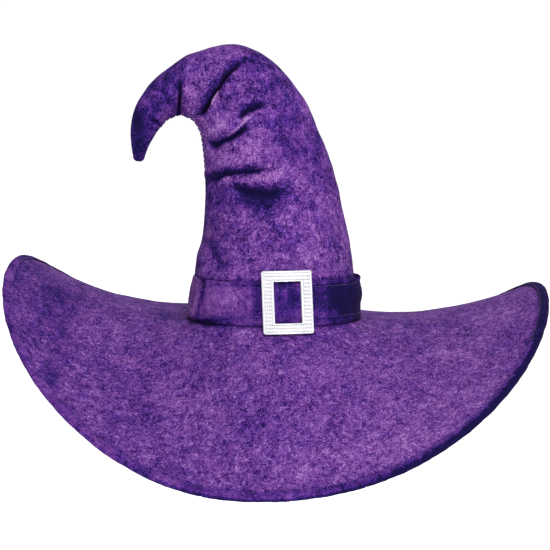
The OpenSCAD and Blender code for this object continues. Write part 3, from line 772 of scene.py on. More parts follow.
crown = crown_piece("crown_velour", P, MAT_CROWN, 0.8, {"rest": rest / 1000, "nap_and_painted_shade": nap_and_painted_shade})


# ------------------------------------------------------------------ crown: foam, lining, tapes, wadding
def eroded(d, n=3):
    e = d.copy()
    for _ in range(n):
        a = np.minimum(np.roll(e, 1, 1), np.roll(e, -1, 1))
        b = np.concatenate([e[:1], e[:-1]])
        c = np.concatenate([e[1:], e[-1:]])
        e = np.minimum(np.minimum(e, a), np.minimum(b, c))
    for _ in range(5):
        a = (np.roll(e, 1, 1) + np.roll(e, -1, 1)) / 2
        b = np.concatenate([e[:1], e[:-1]])
        c = np.concatenate([e[1:], e[-1:]])
        e = np.minimum(e, (2 * e + a * 2 + b + c) / 6)
    return e


disp_in = eroded(np.minimum(disp, 0.6), 4)
STEP = 3
rowsel = np.arange(0, NROW, STEP)
colsel = np.arange(0, NCOL, STEP)
grow = np.clip(row_u - 3, 0, 1)[:, None]


def inner_shell(h, extra, last_u, over_seam=0.0):
    keep = rowsel[row_u[rowsel] <= last_u]
    # the lining passes over the tape on the seam
    ridge = over_seam * np.exp(-(wd0 / 8.0) ** 4) * (smooth((row_u - 5.5) / 0.8) * smooth((13.9 - row_u) / 0.8))[:, None]
    S = (P0 + MOVE + N0 * (disp_in - h - extra * grow - ridge)[..., None])[np.ix_(keep, colsel)]
    R = P0[np.ix_(keep, colsel)]
    return S, R


def shell_piece(name, h, t, extra, last_u, mat, over_seam=0.0):
    S, R = inner_shell(h, extra, last_u, over_seam)
    return crown_piece(name, S, mat, t, {"rest": R / 1000, "nap_and_painted_shade": S[..., 0] * 0})


foam = shell_piece("crown_foam", 1.2, 1.6, 0.35, 16.5, MAT_FOAM)
lining = shell_piece("crown_lining_cloth", 2.9, 0.4, 0.9, 14.0, MAT_LINING, 3.9)


def strip_piece(name, C, Wd, Nm, half, thick, mat, extra_rows=None):
    """a flat ribbon: centre line C, width direction Wd, normal Nm; closed section with soft edges"""
    prof = [(-1, 0), (-0.97, 0.75), (-0.6, 1), (0.6, 1), (0.97, 0.75), (1, 0), (0.97, -0.75), (0.6, -1), (-0.6, -1), (-0.97, -0.75)]
    n, m = len(C), len(prof)
    V = np.array([[C[i] + Wd[i] * half * p[0] + Nm[i] * thick / 2 * p[1] for p in prof] for i in range(n)])
    f = grid_faces(n, m, True).tolist()
    f.append(list(range(m))[::-1])
    f.append([(n - 1) * m + k for k in range(m)])
    S = np.stack([np.full((n, m), 0.0), np.zeros((n, m)), np.zeros((n, m))], -1)
    ln = np.concatenate([[0], np.cumsum(np.linalg.norm(np.diff(C, axis=0), axis=1))])
    S[..., 0] = ln[:, None]
    S[..., 2] = np.array([p[0] for p in prof])[None, :] * half
    ob = new_mesh(name, V, f, attrs={"rest": S.reshape(-1, 3) / 1000, "flat": S.reshape(-1, 3) / 1000, "nap_and_painted_shade": np.zeros(n * m)})
    bm = bmesh.new()
    bm.from_mesh(ob.data)
    bmesh.ops.recalc_face_normals(bm, faces=bm.faces)
    bm.to_mesh(ob.data)
    bm.free()
    return give(ob, mat)


k180 = int(np.argmin(np.abs(col_a - math.pi)))
sel = np.where((row_u >= 6.1) & (row_u <= 13.3))[0][::3]
tc = (P0 + MOVE + N0 * (disp_in - 5.6)[..., None])[sel, k180]
tc[:, 1] = 0
for _ in range(6):
    tc[1:-1] = (tc[:-2] + tc[2:] + 2 * tc[1:-1]) / 4
arc_t = np.arange(len(tc)) * 1.0
tn = N0[sel, k180] * np.array([1, 0, 1])
tn = normalise(tn)
tc = tc + tn * (0.35 * np.sin(arc_t * 1.15))[:, None]
wd = np.tile(np.array([0, 1.0, 0]), (len(tc), 1))
tape = strip_piece("gathering_tape", tc, wd, tn, 4.6, 0.8, MAT_TAPE)

sel = np.where((row_u >= 14.15) & (row_u <= 16.5))[0][::3]
Wd = (P0 + MOVE - N0 * 3.7)[np.ix_(sel, colsel)]
wob2 = fbm(Wd, 9, 31, 2)[..., None]
Wd = Wd + N0[np.ix_(sel, colsel)] * np.minimum(wob2 * 0.5 - 0.3, 0.0)
nw, mw = Wd.shape[:2]
vw = np.concatenate([Wd.reshape(-1, 3), Wd[0].mean(0)[None], Wd[-1].mean(0)[None]])
fw = grid_faces(nw, mw, True).tolist()
fw += [[(i + 1) % mw, i, nw * mw] for i in range(mw)]
fw += [[(nw - 1) * mw + i, (nw - 1) * mw + (i + 1) % mw, nw * mw + 1] for i in range(mw)]
wadding = new_mesh("tip_fibre_wadding", vw, fw, attrs={"nap_and_painted_shade": np.zeros(len(vw))})
give(wadding, MAT_WADDING)


# ------------------------------------------------------------------ brim
def kern(x):
    x = np.radians(x)
    return (1 + 2 * np.cos(x) + 2 * np.cos(2 * x) + 2 * np.cos(3 * x) + np.cos(4 * x)) / 8


def round8(v, a):
    return sum(v[k] * kern(a - 45 * k) for k in range(8))


def brim_mid(a, t):
    b = round8(S_IN, a)
    c = round8(S_OUT, a) - b
    c = np.where(np.abs(c) < 0.5, 0.5, c)
    q = BRIM_W * 180 / np.pi / c
    r = R0 + q * (np.sin(np.radians(b + c * t)) - np.sin(np.radians(b)))
    z = BRIM_T + q * (np.cos(np.radians(b)) - np.cos(np.radians(b + c * t)))
    # the edge isn't quite regular: a little higher at the back left, a little wider at the front right
    lift = t ** 2 * np.exp(-(((a - 168 + 180) % 360 - 180) / 32) ** 2)
    wide = t ** 2 * np.exp(-(((a - 324 + 180) % 360 - 180) / 26) ** 2)
    r = r + 1.3 * wide
    z = z + 1.75 * lift - 0.7 * wide
    return np.stack([r * np.cos(np.radians(a)), r * np.sin(np.radians(a)), z], -1)


def brim_out(a, t):
    return normalise(brim_mid(a, t + 0.01) - brim_mid(a, t - 0.01))


def brim_n(a, t):
    return normalise(np.cross(brim_out(a, t), brim_mid(a + 1, t) - brim_mid(a - 1, t)))


BR = 90
BC = 640
tb = np.linspace(0, 1, BR) ** 0.95
ab = np.linspace(0, 360, BC, endpoint=False)
T, A = np.meshgrid(tb, ab, indexing="ij")


def brim_wave(a, t):
    p = brim_mid(a, t)
    w = fbm(p, 95, 41, 2) * 0.9 + noise3(p, 34, 43) * 0.35
    edge = smooth(t / 0.07) * smooth((1 - t) / 0.05)
    # pulled in a little along the seam of the edge
    pull = -0.22 * np.exp(-(((1 - t) * BRIM_W - 7.5) / 3.0) ** 2)
    return (w * edge + pull)


def brim_face(h, both=0.0):
    s = -h * np.tan(np.radians(round8(S_IN, A))) / BRIM_W
    t = s + (1 - s) * T
    n = brim_n(A, t)
    p = brim_mid(A, t) + n * (brim_wave(A, t) - h)[..., None]
    p[0, :, 0] = R0 * np.cos(np.radians(ab))
    p[0, :, 1] = R0 * np.sin(np.radians(ab))
    return p


top_p = brim_face(0)
q_top = project(top_p)
brim_top_nap_and_shade = nap_and_shade_field(q_top, NAP_AND_SHADE_BRIM) + 0.02
back = smooth((top_p[..., 1] - 20) / 60)
brim_top_nap_and_shade = brim_top_nap_and_shade * (1 - 0.6 * back)
# painted shade along the binding's edge and where the brim meets the crown
brim_top_nap_and_shade -= 0.13 * np.exp(-((1 - T) * BRIM_W - 5.8) ** 2 / 1.6 ** 2)
brim_top_nap_and_shade -= 0.32 * np.exp(-(T * BRIM_W / 3.5) ** 2)
brim_top = new_mesh("brim_velour_top", top_p, grid_faces(BR, BC, True, True), attrs={"rest": brim_mid(A, T).reshape(-1, 3) / 1000, "nap_and_painted_shade": brim_top_nap_and_shade.reshape(-1)})
give(brim_top, MAT_BRIM)
foam_p = brim_face(0.8 + 0.25)
brim_foam = new_mesh("brim_foam_core", foam_p, grid_faces(BR, BC, True, True), attrs={"nap_and_painted_shade": np.zeros(BR * BC)})
give(brim_foam, MAT_FOAM)
under_p = brim_face(BRIM_T)
# painted shade on the underside along the binding's edge and by the crown
brim_under_painted_shade = -0.28 * np.exp(-((1 - T) * BRIM_W - 5.5) ** 2 / 2.2 ** 2) - 0.25 * np.exp(-(T * BRIM_W / 3.5) ** 2)
brim_under = new_mesh("brim_velour_under", under_p, grid_faces(BR, BC, True, False), attrs={"rest": (brim_mid(A, T) + np.array([400.0, 0, 0])).reshape(-1, 3) / 1000, "nap_and_painted_shade": brim_under_painted_shade.reshape(-1)})
give(brim_under, MAT_UNDER)


def facing_up(ob, sign):
    """turns the faces so that the normals point up (sign 1) or down (-1) near the crown"""
    me = ob.data
    n = np.empty(len(me.polygons) * 3)
    me.polygons.foreach_get("normal", n)
    if n.reshape(-1, 3)[:, 2].mean() * sign < 0:
        me.flip_normals()


facing_up(brim_top, 1)
facing_up(brim_foam, 1)
facing_up(brim_under, -1)
solidify(brim_top, 0.8)
solidify(brim_foam, 3.4)
solidify(brim_under, 0.8)

# ------------------------------------------------------------------ edge binding: a folded strip of the same velour round the wire
BI = BRIM_T / 2 + 0.2
BO = BI + 0.85
EC = 1500
ae = np.linspace(0, 360, EC, endpoint=False)
one = np.ones_like(ae)
e_mid = brim_mid(ae, one)
e_out = brim_out(ae, one)
e_n = brim_n(ae, one)
e_base = e_mid - e_n * (BRIM_T / 2)
e_len = np.concatenate([[0], np.cumsum(np.linalg.norm(np.diff(e_base, axis=0), axis=1))])
sec_o = [(-5.1, BI - 0.12), (-5.25, BI + 0.35), (-4.95, BO - 0.1), (-4.3, BO + 0.1), (-3.6, BO + 0.02), (-2.8, BO + 0.22), (-1.7, BO + 0.38), (-0.5, BO + 0.42)]
for qd in range(84, -85, -12):
    sec_o.append((1 + (BO + 0.35) * math.cos(math.radians(qd)), (BO + 0.4) * math.sin(math.radians(qd))))
sec_o += [(u, -v) for u, v in sec_o[:8][::-1]]
sec_i = [(-5.1, -BI)] + [(-3.0, -BI), (-1.0, -BI)]
for qd in range(-75, 76, 25):
    sec_i.append((1 + BI * math.cos(math.radians(qd)), BI * math.sin(math.radians(qd))))
sec_i += [(-1.0, BI), (-3.0, BI), (-5.1, BI)]
n_o = len(sec_o)
sec = np.array(sec_o + sec_i)
ns = len(sec)
ph_u = np.linspace(0, 1, n_o)
pk = np.zeros((EC, ns))
L3 = np.stack([e_len, e_len * 0, e_len * 0], -1)
crease1 = noise3(L3, 7.0, 71)
crease2 = noise3(L3, 17.0, 72)
for k in range(n_o):
    shift = (ph_u[k] - 0.5) * 14
    Lk = np.stack([e_len + shift, e_len * 0 + ph_u[k] * 6, e_len * 0], -1)
    w = math.sin(math.pi * ph_u[k]) ** 0.5
    pk[:, k] = w * (0.28 * noise3(Lk, 5.5, 73) + 0.3 * noise3(Lk, 14, 74) + 0.10 * noise3(Lk, 2.6, 75))
sec_n = np.zeros((ns, 2))
for k in range(n_o):
    a0, a1 = sec[max(k - 1, 0)], sec[min(k + 1, n_o - 1)]
    d = a1 - a0
    nn = np.array([-d[1], d[0]])
    nn = nn / (np.linalg.norm(nn) + 1e-9)
    if nn @ (sec[k] - np.array([0.0, 0.0])) < 0:
        nn = -nn
    sec_n[k] = nn
U = sec[None, :, 0] + pk * sec_n[None, :, 0]
Vv = sec[None, :, 1] + pk * sec_n[None, :, 1]
bind_p = e_base[:, None] + U[..., None] * e_out[:, None] + Vv[..., None] * e_n[:, None]
qb = project(bind_p)
x = qb[..., 0]
# painted light and shade on the binding: lighter on the left where the lamps fall, darker on the shaded right and on
# its outer roll; also darker towards the back
lit = smooth((230 - x) / 120)
rim_dark = smooth((x - 320) / 130) * (0.10 + 0.90 * np.maximum(smooth((sec[None, :, 0] + 1.4) / 4.0), smooth((x - 520) / 14) * smooth((350 - qb[..., 1]) / 24)))
binding_painted_light_shade = -0.10 + 0.08 * lit - 0.42 * rim_dark - 0.34 * smooth((bind_p[..., 1] - 10) / 60) - 0.28 * smooth((sec[None, :, 0] - 2.8) / 1.8) * (1 - 0.75 * lit)
# painted shade along the binding's inner edge and its stitch line
binding_painted_light_shade = binding_painted_light_shade - 0.16 * (np.abs(sec[None, :, 0] + 5.0) < 0.4) * 1.0 - 0.08 * np.exp(-((sec[None, :, 0] + 3.6) / 0.5) ** 2)
# painted light on raised puckers, painted shade in sunk ones
binding_painted_light_shade = binding_painted_light_shade + 0.0 * U + pk * 0.25
restb = np.stack([np.broadcast_to(e_len[:, None], (EC, ns)), np.broadcast_to((np.arange(ns) * 0.9)[None, :], (EC, ns)), np.full((EC, ns), 900.0)], -1)
fb = []
jj, ii = np.meshgrid(np.arange(EC), np.arange(ns), indexing="ij")
k2, w2 = (ii + 1) % ns, (jj + 1) % EC
fb = np.stack([jj * ns + ii, w2 * ns + ii, w2 * ns + k2, jj * ns + k2], -1).reshape(-1, 4)
binding = new_mesh("edge_binding", bind_p, fb, attrs={"rest": bind_p.reshape(-1, 3) / 1000 + np.array([0.9, 0, 0]), "nap_and_painted_shade": binding_painted_light_shade.reshape(-1)})
bm = bmesh.new()
bm.from_mesh(binding.data)
bmesh.ops.recalc_face_normals(bm, faces=bm.faces)
bm.to_mesh(binding.data)
bm.free()
give(binding, MAT_BIND)


# ------------------------------------------------------------------ stitches: short lengths of thread that dip into the cloth at both ends
def stitches(name, C, Tn, Nn, length, radius, mat, depth=0.35):
    n = len(C)
    B = normalise(np.cross(Tn, Nn))
    st = np.array([-0.5, -0.4, -0.2, 0, 0.2, 0.4, 0.5])
    up = np.array([-depth, -0.02, radius * 0.55, radius * 0.8, radius * 0.55, -0.02, -depth])
    rr_ = np.array([0.5, 0.85, 1, 1, 1, 0.85, 0.5]) * radius
    m = 6
    ph_ = np.arange(m) * 2 * np.pi / m
    V = np.zeros((n, len(st), m, 3))
    for i in range(len(st)):
        c = C + Tn * (st[i] * length) + Nn * up[i]
        for j in range(m):
            V[:, i, j] = c + Nn * (rr_[i] * math.sin(ph_[j])) + B * (rr_[i] * math.cos(ph_[j]))
    base = np.arange(n) * len(st) * m
    f = []
    for i in range(len(st) - 1):
        for j in range(m):
            k = (j + 1) % m
            f.append(np.stack([base + i * m + j, base + i * m + k, base + (i + 1) * m + k, base + (i + 1) * m + j], -1))
    quads = np.concatenate(f).tolist()
    caps_ = []
    for b in base.tolist():
        caps_.append([b + j for j in range(m)][::-1])
        caps_.append([b + (len(st) - 1) * m + j for j in range(m)])
    ob = new_mesh(name, V.reshape(-1, 3), quads + caps_)
    bm = bmesh.new()
    bm.from_mesh(ob.data)
    bmesh.ops.recalc_face_normals(bm, faces=bm.faces)
    bm.to_mesh(ob.data)
    bm.free()
    return give(ob, mat)


def along(curve, normals, pitch, closed=True):
    """places at an even pitch along a curve"""
    c = np.concatenate([curve, curve[:1]]) if closed else curve
    nn = np.concatenate([normals, normals[:1]]) if closed else normals
    d = np.concatenate([[0], np.cumsum(np.linalg.norm(np.diff(c, axis=0), axis=1))])
    m = max(int(d[-1] / pitch), 2)
    s = (np.arange(m) + 0.5) * d[-1] / m
    P_ = np.stack([np.interp(s, d, c[:, i]) for i in range(3)], -1)
    N_ = normalise(np.stack([np.interp(s, d, nn[:, i]) for i in range(3)], -1))
    Q_ = np.stack([np.interp(s + 0.3, d, c[:, i]) for i in range(3)], -1)
    T_ = normalise(Q_ - P_)
    N_ = normalise(N_ - T_ * (N_ * T_).sum(-1, keepdims=True))
    return P_, T_, N_


k_st = 4
up_line = bind_p[:, k_st]
dn_line = bind_p[:, n_o - 1 - k_st]
cs = [along(up_line, e_n, 3.4), along(dn_line, -e_n, 3.4)]
bind_st = stitches("binding_stitches", *[np.concatenate([cs[0][i], cs[1][i]]) for i in range(3)], 2.6, 0.2, MAT_THREAD)


# ------------------------------------------------------------------ hat band
def crown_r(z):
    return np.where(z < 26, RC - 0.1 * z / 26, np.where(z < 41, RC - 0.1 - 2.5 * (z - 26) / 15, RC - 2.6 - 3.8 * (z - 41) / 15))


def wrap180(x):
    return (x + 180) % 360 - 180


def rise(a):
    return 2.2 * (1 - smooth((np.abs(wrap180(a - PLACE)) - 11.8) / 5))


NBZ = 40
NBA = 900
zf = np.linspace(0, 1, NBZ)
af = np.linspace(0, 1, NBA)
AF, ZF = np.meshgrid(af, zf, indexing="ij")
start_az = 202 + 11 * ZF
end_az = 582.0 - 2 * ZF
AZ = start_az + (end_az - start_az) * AF
lap_end = 224.0
top_w = 1 - smooth((AZ - lap_end) / 14)                      # 1 where the outer end lies over the inner end
azm = AZ % 360
d_right = np.abs(wrap180(azm - 352))
w_right = smooth((46 - d_right) / 30)
z_band = BAND_Z0 + (BAND_Z1 - BAND_Z0) * ZF
# lower edge dips a little at the front, the left corner of the outer end is lifted
z_band = z_band - 1.6 * (1 - ZF) * np.exp(-(wrap180(azm - 262) / 26) ** 2)
z_band = z_band + 3.4 * (1 - ZF) ** 2 * np.exp(-((AZ - 202) / 12) ** 2) - 0.6 * ZF ** 2 * np.exp(-(wrap180(azm - 352) / 18) ** 2)
GAP_AZ = [180, 210, 226, 240, 250, 260, 266, 270, 291, 296, 310, 320, 340, 360]
GAP_MM = [2.4, 0.6, 0.8, 1.9, 1.9, 1.4, 0.0, 0.0, 0.0, 3.0, 3.0, 3.0, 2.6, 2.4]
z_band = z_band - (1 - ZF) ** 7 * np.interp(np.where(azm < 180, 360, azm), GAP_AZ, GAP_MM)
r_in = crown_r(np.maximum(z_band, BAND_Z0)) + 0.3 + rise(azm)
lay = 1.45 * top_w
stand = w_right * (3.3 * smooth((z_band - 22) / 14)) + 2.2 * w_right * smooth((z_band - 47) / 8)
ent = 1 - smooth((np.abs(wrap180(azm - PLACE)) - 11.5) / 8)
bulge = 0.9 * ent * np.sin(np.pi * ZF) ** 1.2
p_flat = np.stack([azm * 1.7, z_band, z_band * 0], -1)
wr = 0.45 * noise3(p_flat * np.array([1, 0.45, 1]), 26, 51) + 0.28 * noise3(p_flat * np.array([1, 0.3, 1]), 10, 52)
off_buckle = smooth((np.abs(wrap180(azm - PLACE)) - 24.5) / 3)
inside = smooth((12 - np.abs(wrap180(azm - PLACE))) / 4)
wr = np.maximum(wr, -0.28) * (0.25 + 0.75 * off_buckle)
crease_l = -0.0 * AZ
puff = 0.55 * top_w * np.exp(-((AZ - start_az - 5) / 7) ** 2)
corner = 3.0 * np.exp(-((AZ - 202) / 11) ** 2) * (1 - ZF) ** 2 * (AZ < 260)
hem = -0.32 * (np.exp(-((z_band - (BAND_Z0 + 5.5)) / 0.9) ** 2) + np.exp(-((z_band - (BAND_Z1 - 5.5)) / 0.9) ** 2)) + 0.15 * (smooth((BAND_Z0 + 5 - z_band) / 2) + smooth((z_band - BAND_Z1 + 5) / 2))
r_mid = r_in + lay + stand + bulge + puff + corner + wr * 0.8 + 0.25
# where the buckle slides the band keeps between its bar and the back of its frame
d_place = np.abs(wrap180(azm - PLACE))
bar_out = np.interp(z_band, [6.6, 26.2, 41.4, 56.3], [98.42, 98.38, 95.9, 92.5])
back = 106.9 - 0.2 * (z_band + 1) - 1.75
r_mid = lerp(r_mid, np.maximum(r_mid, bar_out), 1 - smooth((d_place - 11.2) / 4))
r_mid = lerp(r_mid, np.minimum(r_mid, back), 1 - smooth((d_place - 25.5) / 3))
th = 1.2 + hem
edge_round = np.clip(np.minimum(ZF, 1 - ZF) * (BAND_Z1 - BAND_Z0) / 0.6, 0, 1) ** 0.5
r_o = r_mid + th * (0.35 + 0.65 * edge_round)
r_i = r_mid + th * 0.30 * (1 - edge_round)
ca, sa = np.cos(np.radians(AZ)), np.sin(np.radians(AZ))
out_g = np.stack([r_o * ca, r_o * sa, z_band], -1)
in_g = np.stack([r_i * ca, r_i * sa, z_band], -1)
sec_b = np.concatenate([out_g, in_g[:, ::-1]], 1)            # [azimuth, round the section]
ms = sec_b.shape[1]
fbd = grid_faces(NBA, ms, True).tolist()
fbd += [[j for j in range(ms)][::-1], [(NBA - 1) * ms + j for j in range(ms)]]
# broad light (+) and dark (-) places on the band, partly the pile's own patches and partly painted light and shade,
# such as painted shadows beside the buckle, along the lap's crease and under the lifted corner: x, y, radius x, radius
# y, amount
NAP_AND_SHADE_BAND = [
    (228, 299, 22, 13, 0.24), (212, 290, 10, 12, 0.06), (236, 312, 18, 5, 0.12), (257, 302, 7, 26, -0.34), (196.5, 293, 4.5, 20, 0.26), (204.2, 284, 1.6, 8, -0.5),
    (201.6, 295, 1.6, 8, -0.55), (198.6, 306, 1.6, 8, -0.55), (196.6, 314, 1.6, 5, -0.5), (281, 300, 12, 24, -0.3), (293, 298, 6, 22, -0.3), (317, 303, 5, 18, -0.25),
    (342, 300, 18, 22, -0.65), (357, 300, 6, 24, -0.5), (250, 285, 26, 3, -0.14), (333, 285, 28, 4, -0.12), (322, 318, 20, 5, -0.1), (346, 304, 2.5, 12, 0.12),
    (353, 306, 2.5, 10, 0.10), (335, 312, 2.5, 6, 0.1), (287, 287, 12, 1, 0.10), (238, 287.5, 24, 0.8, 0.06), (285, 296, 3, 10, 0.12), (210, 320, 14, 2.5, -0.4), (318, 312, 6, 6, 0.3), (189, 300, 3, 18, 0.3), (316, 293, 5, 8, -0.14), (250, 290, 5, 10, 0.16),
]
qbd = project(sec_b)
frontb = smooth(0.5 - sec_b[..., 1] / 10)
# darker round the back
band_nap_and_shade = (-0.01 + nap_and_shade_field(qbd, NAP_AND_SHADE_BAND) * frontb - 0.2 * (1 - frontb))
hemline = np.concatenate([hem, hem[:, ::-1] * 0], 1)
# painted shade along the lower edge and in the stitched grooves of the hems, painted light on raised wrinkles
low_edge = np.concatenate([np.exp(-(ZF / 0.045) ** 2), np.exp(-(ZF[:, ::-1] / 0.045) ** 2)], 1)
band_nap_and_shade = band_nap_and_shade - 0.14 * low_edge + 0.5 * np.minimum(hemline, 0) + 0.1 * np.concatenate([wr, wr[:, ::-1]], 1)
restbd = np.stack([AZ * 1.7, z_band, z_band * 0 + 600], -1)
restbd = np.concatenate([restbd, restbd[:, ::-1] + np.array([0, 0, 60.0])], 1)
band = new_mesh("hat_band_velour", sec_b, fbd, attrs={"rest": restbd.reshape(-1, 3) / 1000, "nap_and_painted_shade": band_nap_and_shade.reshape(-1)})
bm = bmesh.new()
bm.from_mesh(band.data)
bmesh.ops.recalc_face_normals(bm, faces=bm.faces)
bm.to_mesh(band.data)
bm.free()
give(band, MAT_BAND)

st_c, st_t, st_n = [], [], []
for zt_ in (BAND_Z0 + 5.5, BAND_Z1 - 5.5):
    kz_ = np.argmin(np.abs(z_band - zt_), axis=1)
    line = out_g[np.arange(NBA), kz_]
    vis = (AF[:, 0] * 0 + AZ[np.arange(NBA), kz_]) < 202 + 361
    line = line[vis]
    nn_ = normalise(line * np.array([1, 1, 0]))
    a_, b_, c_ = along(line, nn_, 3.6, closed=False)
    st_c.append(a_), st_t.append(b_), st_n.append(c_)
st_c, st_t, st_n = np.concatenate(st_c), np.concatenate(st_t), np.concatenate(st_n)
hide = np.abs(wrap180(np.degrees(np.arctan2(st_c[:, 1], st_c[:, 0])) - PLACE)) < 0
band_st = stitches("band_stitches", st_c, st_t, st_n, 2.7, 0.17, MAT_THREAD)

# ------------------------------------------------------------------ buckle
BZ0, BH, BW, BS, BB, BT = -1.0, 68.0, 56.0, 13.0, 11.5, 3.0


def frame_r(z):
    return 106.9 - 0.2 * (z + 1)


tilt = math.radians(0.7)
pa = math.radians(PLACE)
rad_u = np.array([math.cos(pa), math.sin(pa), 0])
tan_u = np.array([-math.sin(pa), math.cos(pa), 0])


def buckle_map(s, z, h):
    """s across the face in mm, z height, h above the back of the frame"""
    ph_ = np.asarray(s) / (frame_r(np.asarray(z)) + BT / 2)
    r = frame_r(np.asarray(z)) + h
    lx, ly, lz = r * np.cos(ph_), r * np.sin(ph_), np.asarray(z) - 33.0
    y2 = ly * math.cos(tilt) - lz * math.sin(tilt)
    z2 = ly * math.sin(tilt) + lz * math.cos(tilt)
    return lx[..., None] * rad_u + y2[..., None] * tan_u + (z2 + 33.0)[..., None] * np.array([0, 0, 1.0])


def round_rect(hw, hh, rc_, n_side=26, n_arc=8):
    pts = []
    cs_ = [(hw - rc_, hh - rc_, 0), (-hw + rc_, hh - rc_, 90), (-hw + rc_, -hh + rc_, 180), (hw - rc_, -hh + rc_, 270)]
    for k in range(4):
        cx, cy, a0 = cs_[k]
        for i in range(n_arc + 1):
            a = math.radians(a0 + 90 * i / n_arc)
            pts.append((cx + rc_ * math.cos(a), cy + rc_ * math.sin(a)))
        nx, ny, _ = cs_[(k + 1) % 4]
        a = math.radians(a0 + 90)
        e0 = np.array([cx + rc_ * math.cos(a), cy + rc_ * math.sin(a)])
        e1 = np.array([nx + rc_ * math.cos(a), ny + rc_ * math.sin(a)])
        for i in range(1, n_side):
            pts.append(tuple(e0 + (e1 - e0) * i / n_side))
    return np.array(pts)


bw_, bh_ = BW / 2, BH / 2
prof = [(0, 0.0), (0, 0.5), (0, 2.1), (0.12, 2.5), (0.4, 2.82), (0.85, 3.0), (1.6, 3.02), (2.25, 2.95), (2.55, 2.75), (2.68, 2.42)]
loops = []
for d, h in prof:
    loops.append((round_rect(bw_ - d, bh_ - d * 0.78, max(2.6 - d, 0.5)), h))
prof_in = [(3.05, 2.42), (2.95, 2.75), (2.6, 2.98), (1.5, 3.06), (0.6, 3.0), (0.22, 2.8), (0.06, 2.5), (0, 2.1), (0, 0.5), (0, 0.0)]
for d, h in prof_in:
    loops.append((round_rect(bw_ - BS + d, bh_ - BB + d * 0.42, 0.7 + d * 0.15), h))
nl = len(loops[0][0])
LP = np.array([buckle_map(l[:, 0], l[:, 1] + BZ0 + BH / 2, h) for l, h in loops])
bv = [LP.reshape(-1, 3)]
bf = []
nlp = len(loops)
for j in range(nlp):
    j2 = (j + 1) % nlp
    for i in range(nl):
        k = (i + 1) % nl
        bf.append([j * nl + i, j * nl + k, j2 * nl + k, j2 * nl + i])
# painted shade along the channel where each rim meets the beads
groove_painted_shade = [np.concatenate([np.full(nl, 0.3 if h == 2.42 else 0.0) for _, h in loops])]
base_n = nlp * nl
# rows of raised beads over the whole face, left out where they would cross the rims
px_, pz_ = 2.414, 4.0
cols_ = np.arange(-10, 11) * px_
rows_ = (np.arange(-8, 8) + 0.5) * pz_
bead = []
g_u = np.linspace(-1, 1, 9)
hwb, hhb = px_ / 2, pz_ / 2 - 0.07
for cz in rows_:
    for cx in cols_:
        if abs(cx) + hwb > bw_ - 2.6 or abs(cz) + hhb > bh_ - 1.9:
            continue
        if abs(cx) - hwb < bw_ - BS + 2.9 and abs(cz) - hhb < bh_ - BB + 1.2:
            continue
        bead.append((cx, cz))
GU, GV = np.meshgrid(g_u, g_u, indexing="ij")
sq = lambda t: np.sign(t) * np.abs(t) ** 0.8
EU, EV = sq(GU), sq(GV)
# the beads are rounded at their corners, so small pits stand open where four meet
r_inf = np.maximum(np.abs(EU), np.abs(EV))
r_p = (np.abs(EU) ** 3.0 + np.abs(EV) ** 3.0) ** (1 / 3.0)
shr_ = np.where(r_p > 1e-6, r_inf / np.maximum(r_p, 1e-6), 1.0)
EU, EV = EU * shr_, EV * shr_
prof_h = np.clip(1 - np.abs(GV) ** 4, 0, 1) ** 0.5 * (1 - 0.2 * np.abs(GU) ** 4 - 0.8 * np.abs(GU) ** 6 * np.abs(GV) ** 3)
# painted shade in the pits where four beads meet and in the grooves between rows
pit = smooth((np.abs(GU) * np.abs(GV) - 0.5) / 0.4) * 0.9 + 0.22 * smooth((np.abs(GV) - 0.86) / 0.14)
for cx, cz in bead:
    S_ = cx + EU * hwb
    Z_ = cz + EV * hhb + BZ0 + BH / 2
    H_ = 2.2 + 0.95 * prof_h
    bv.append(buckle_map(S_.ravel(), Z_.ravel(), H_.ravel()))
    for i in range(8):
        for j in range(8):
            a = base_n + i * 9 + j
            bf.append([a, a + 9, a + 10, a + 1])
    # the painted shade is stronger towards the right and the bottom of the face
    groove_painted_shade.append(np.clip(pit.ravel(), 0, 1) * (0.30 + 0.55 * smooth((cx + 12) / 30)) * (0.6 + 0.4 * smooth((10 - cz) / 26)))
    base_n += 81
# middle bar that passes behind the band
zt = BZ0 + BH - BB
bar = [(frame_r(4.9) + 1, 4.9), (RC + 0.4, 4.9), (RC + 0.4, 26), (RC - 2.1, 41), (RC - 5.7, zt + 0.4), (RC - 6.0, zt + 2.8),
       (frame_r(zt + 2.8) + 1, zt + 2.8), (frame_r(zt + 0.8) + 1, zt + 0.8), (RC - 4.1, zt + 0.8), (RC - 0.7, 41.4), (RC + 1.8, 26.2), (RC + 1.85, 6.6), (frame_r(6.6) + 1, 6.6)]
nbp = len(bar)
hs = np.array([-2.4, -2.2, 2.2, 2.4])
for hcol, sx in enumerate(hs):
    shr = 0.25 if abs(sx) > 2.3 else 0.0
    cenb = np.array(bar).mean(0)
    pts = []
    for r_, z_ in bar:
        pts.append(buckle_map(np.array(sx), np.array(z_), np.array(r_ - frame_r(z_))))
    bv.append(np.array(pts).reshape(-1, 3))
for c_ in range(3):
    for i in range(nbp):
        k = (i + 1) % nbp
        a = base_n + c_ * nbp
        bf.append([a + i, a + k, a + nbp + k, a + nbp + i])
bf.append([base_n + i for i in range(nbp)])
bf.append([base_n + 3 * nbp + i for i in range(nbp)][::-1])
groove_painted_shade.append(np.zeros(4 * nbp))
buckle = new_mesh("buckle_beaded_frame", np.concatenate(bv), bf, attrs={"groove_painted_shade": np.concatenate(groove_painted_shade)})
bm = bmesh.new()
bm.from_mesh(buckle.data)
bmesh.ops.recalc_face_normals(bm, faces=bm.faces)
bm.to_mesh(buckle.data)
bm.free()
give(buckle, MAT_BUCKLE)

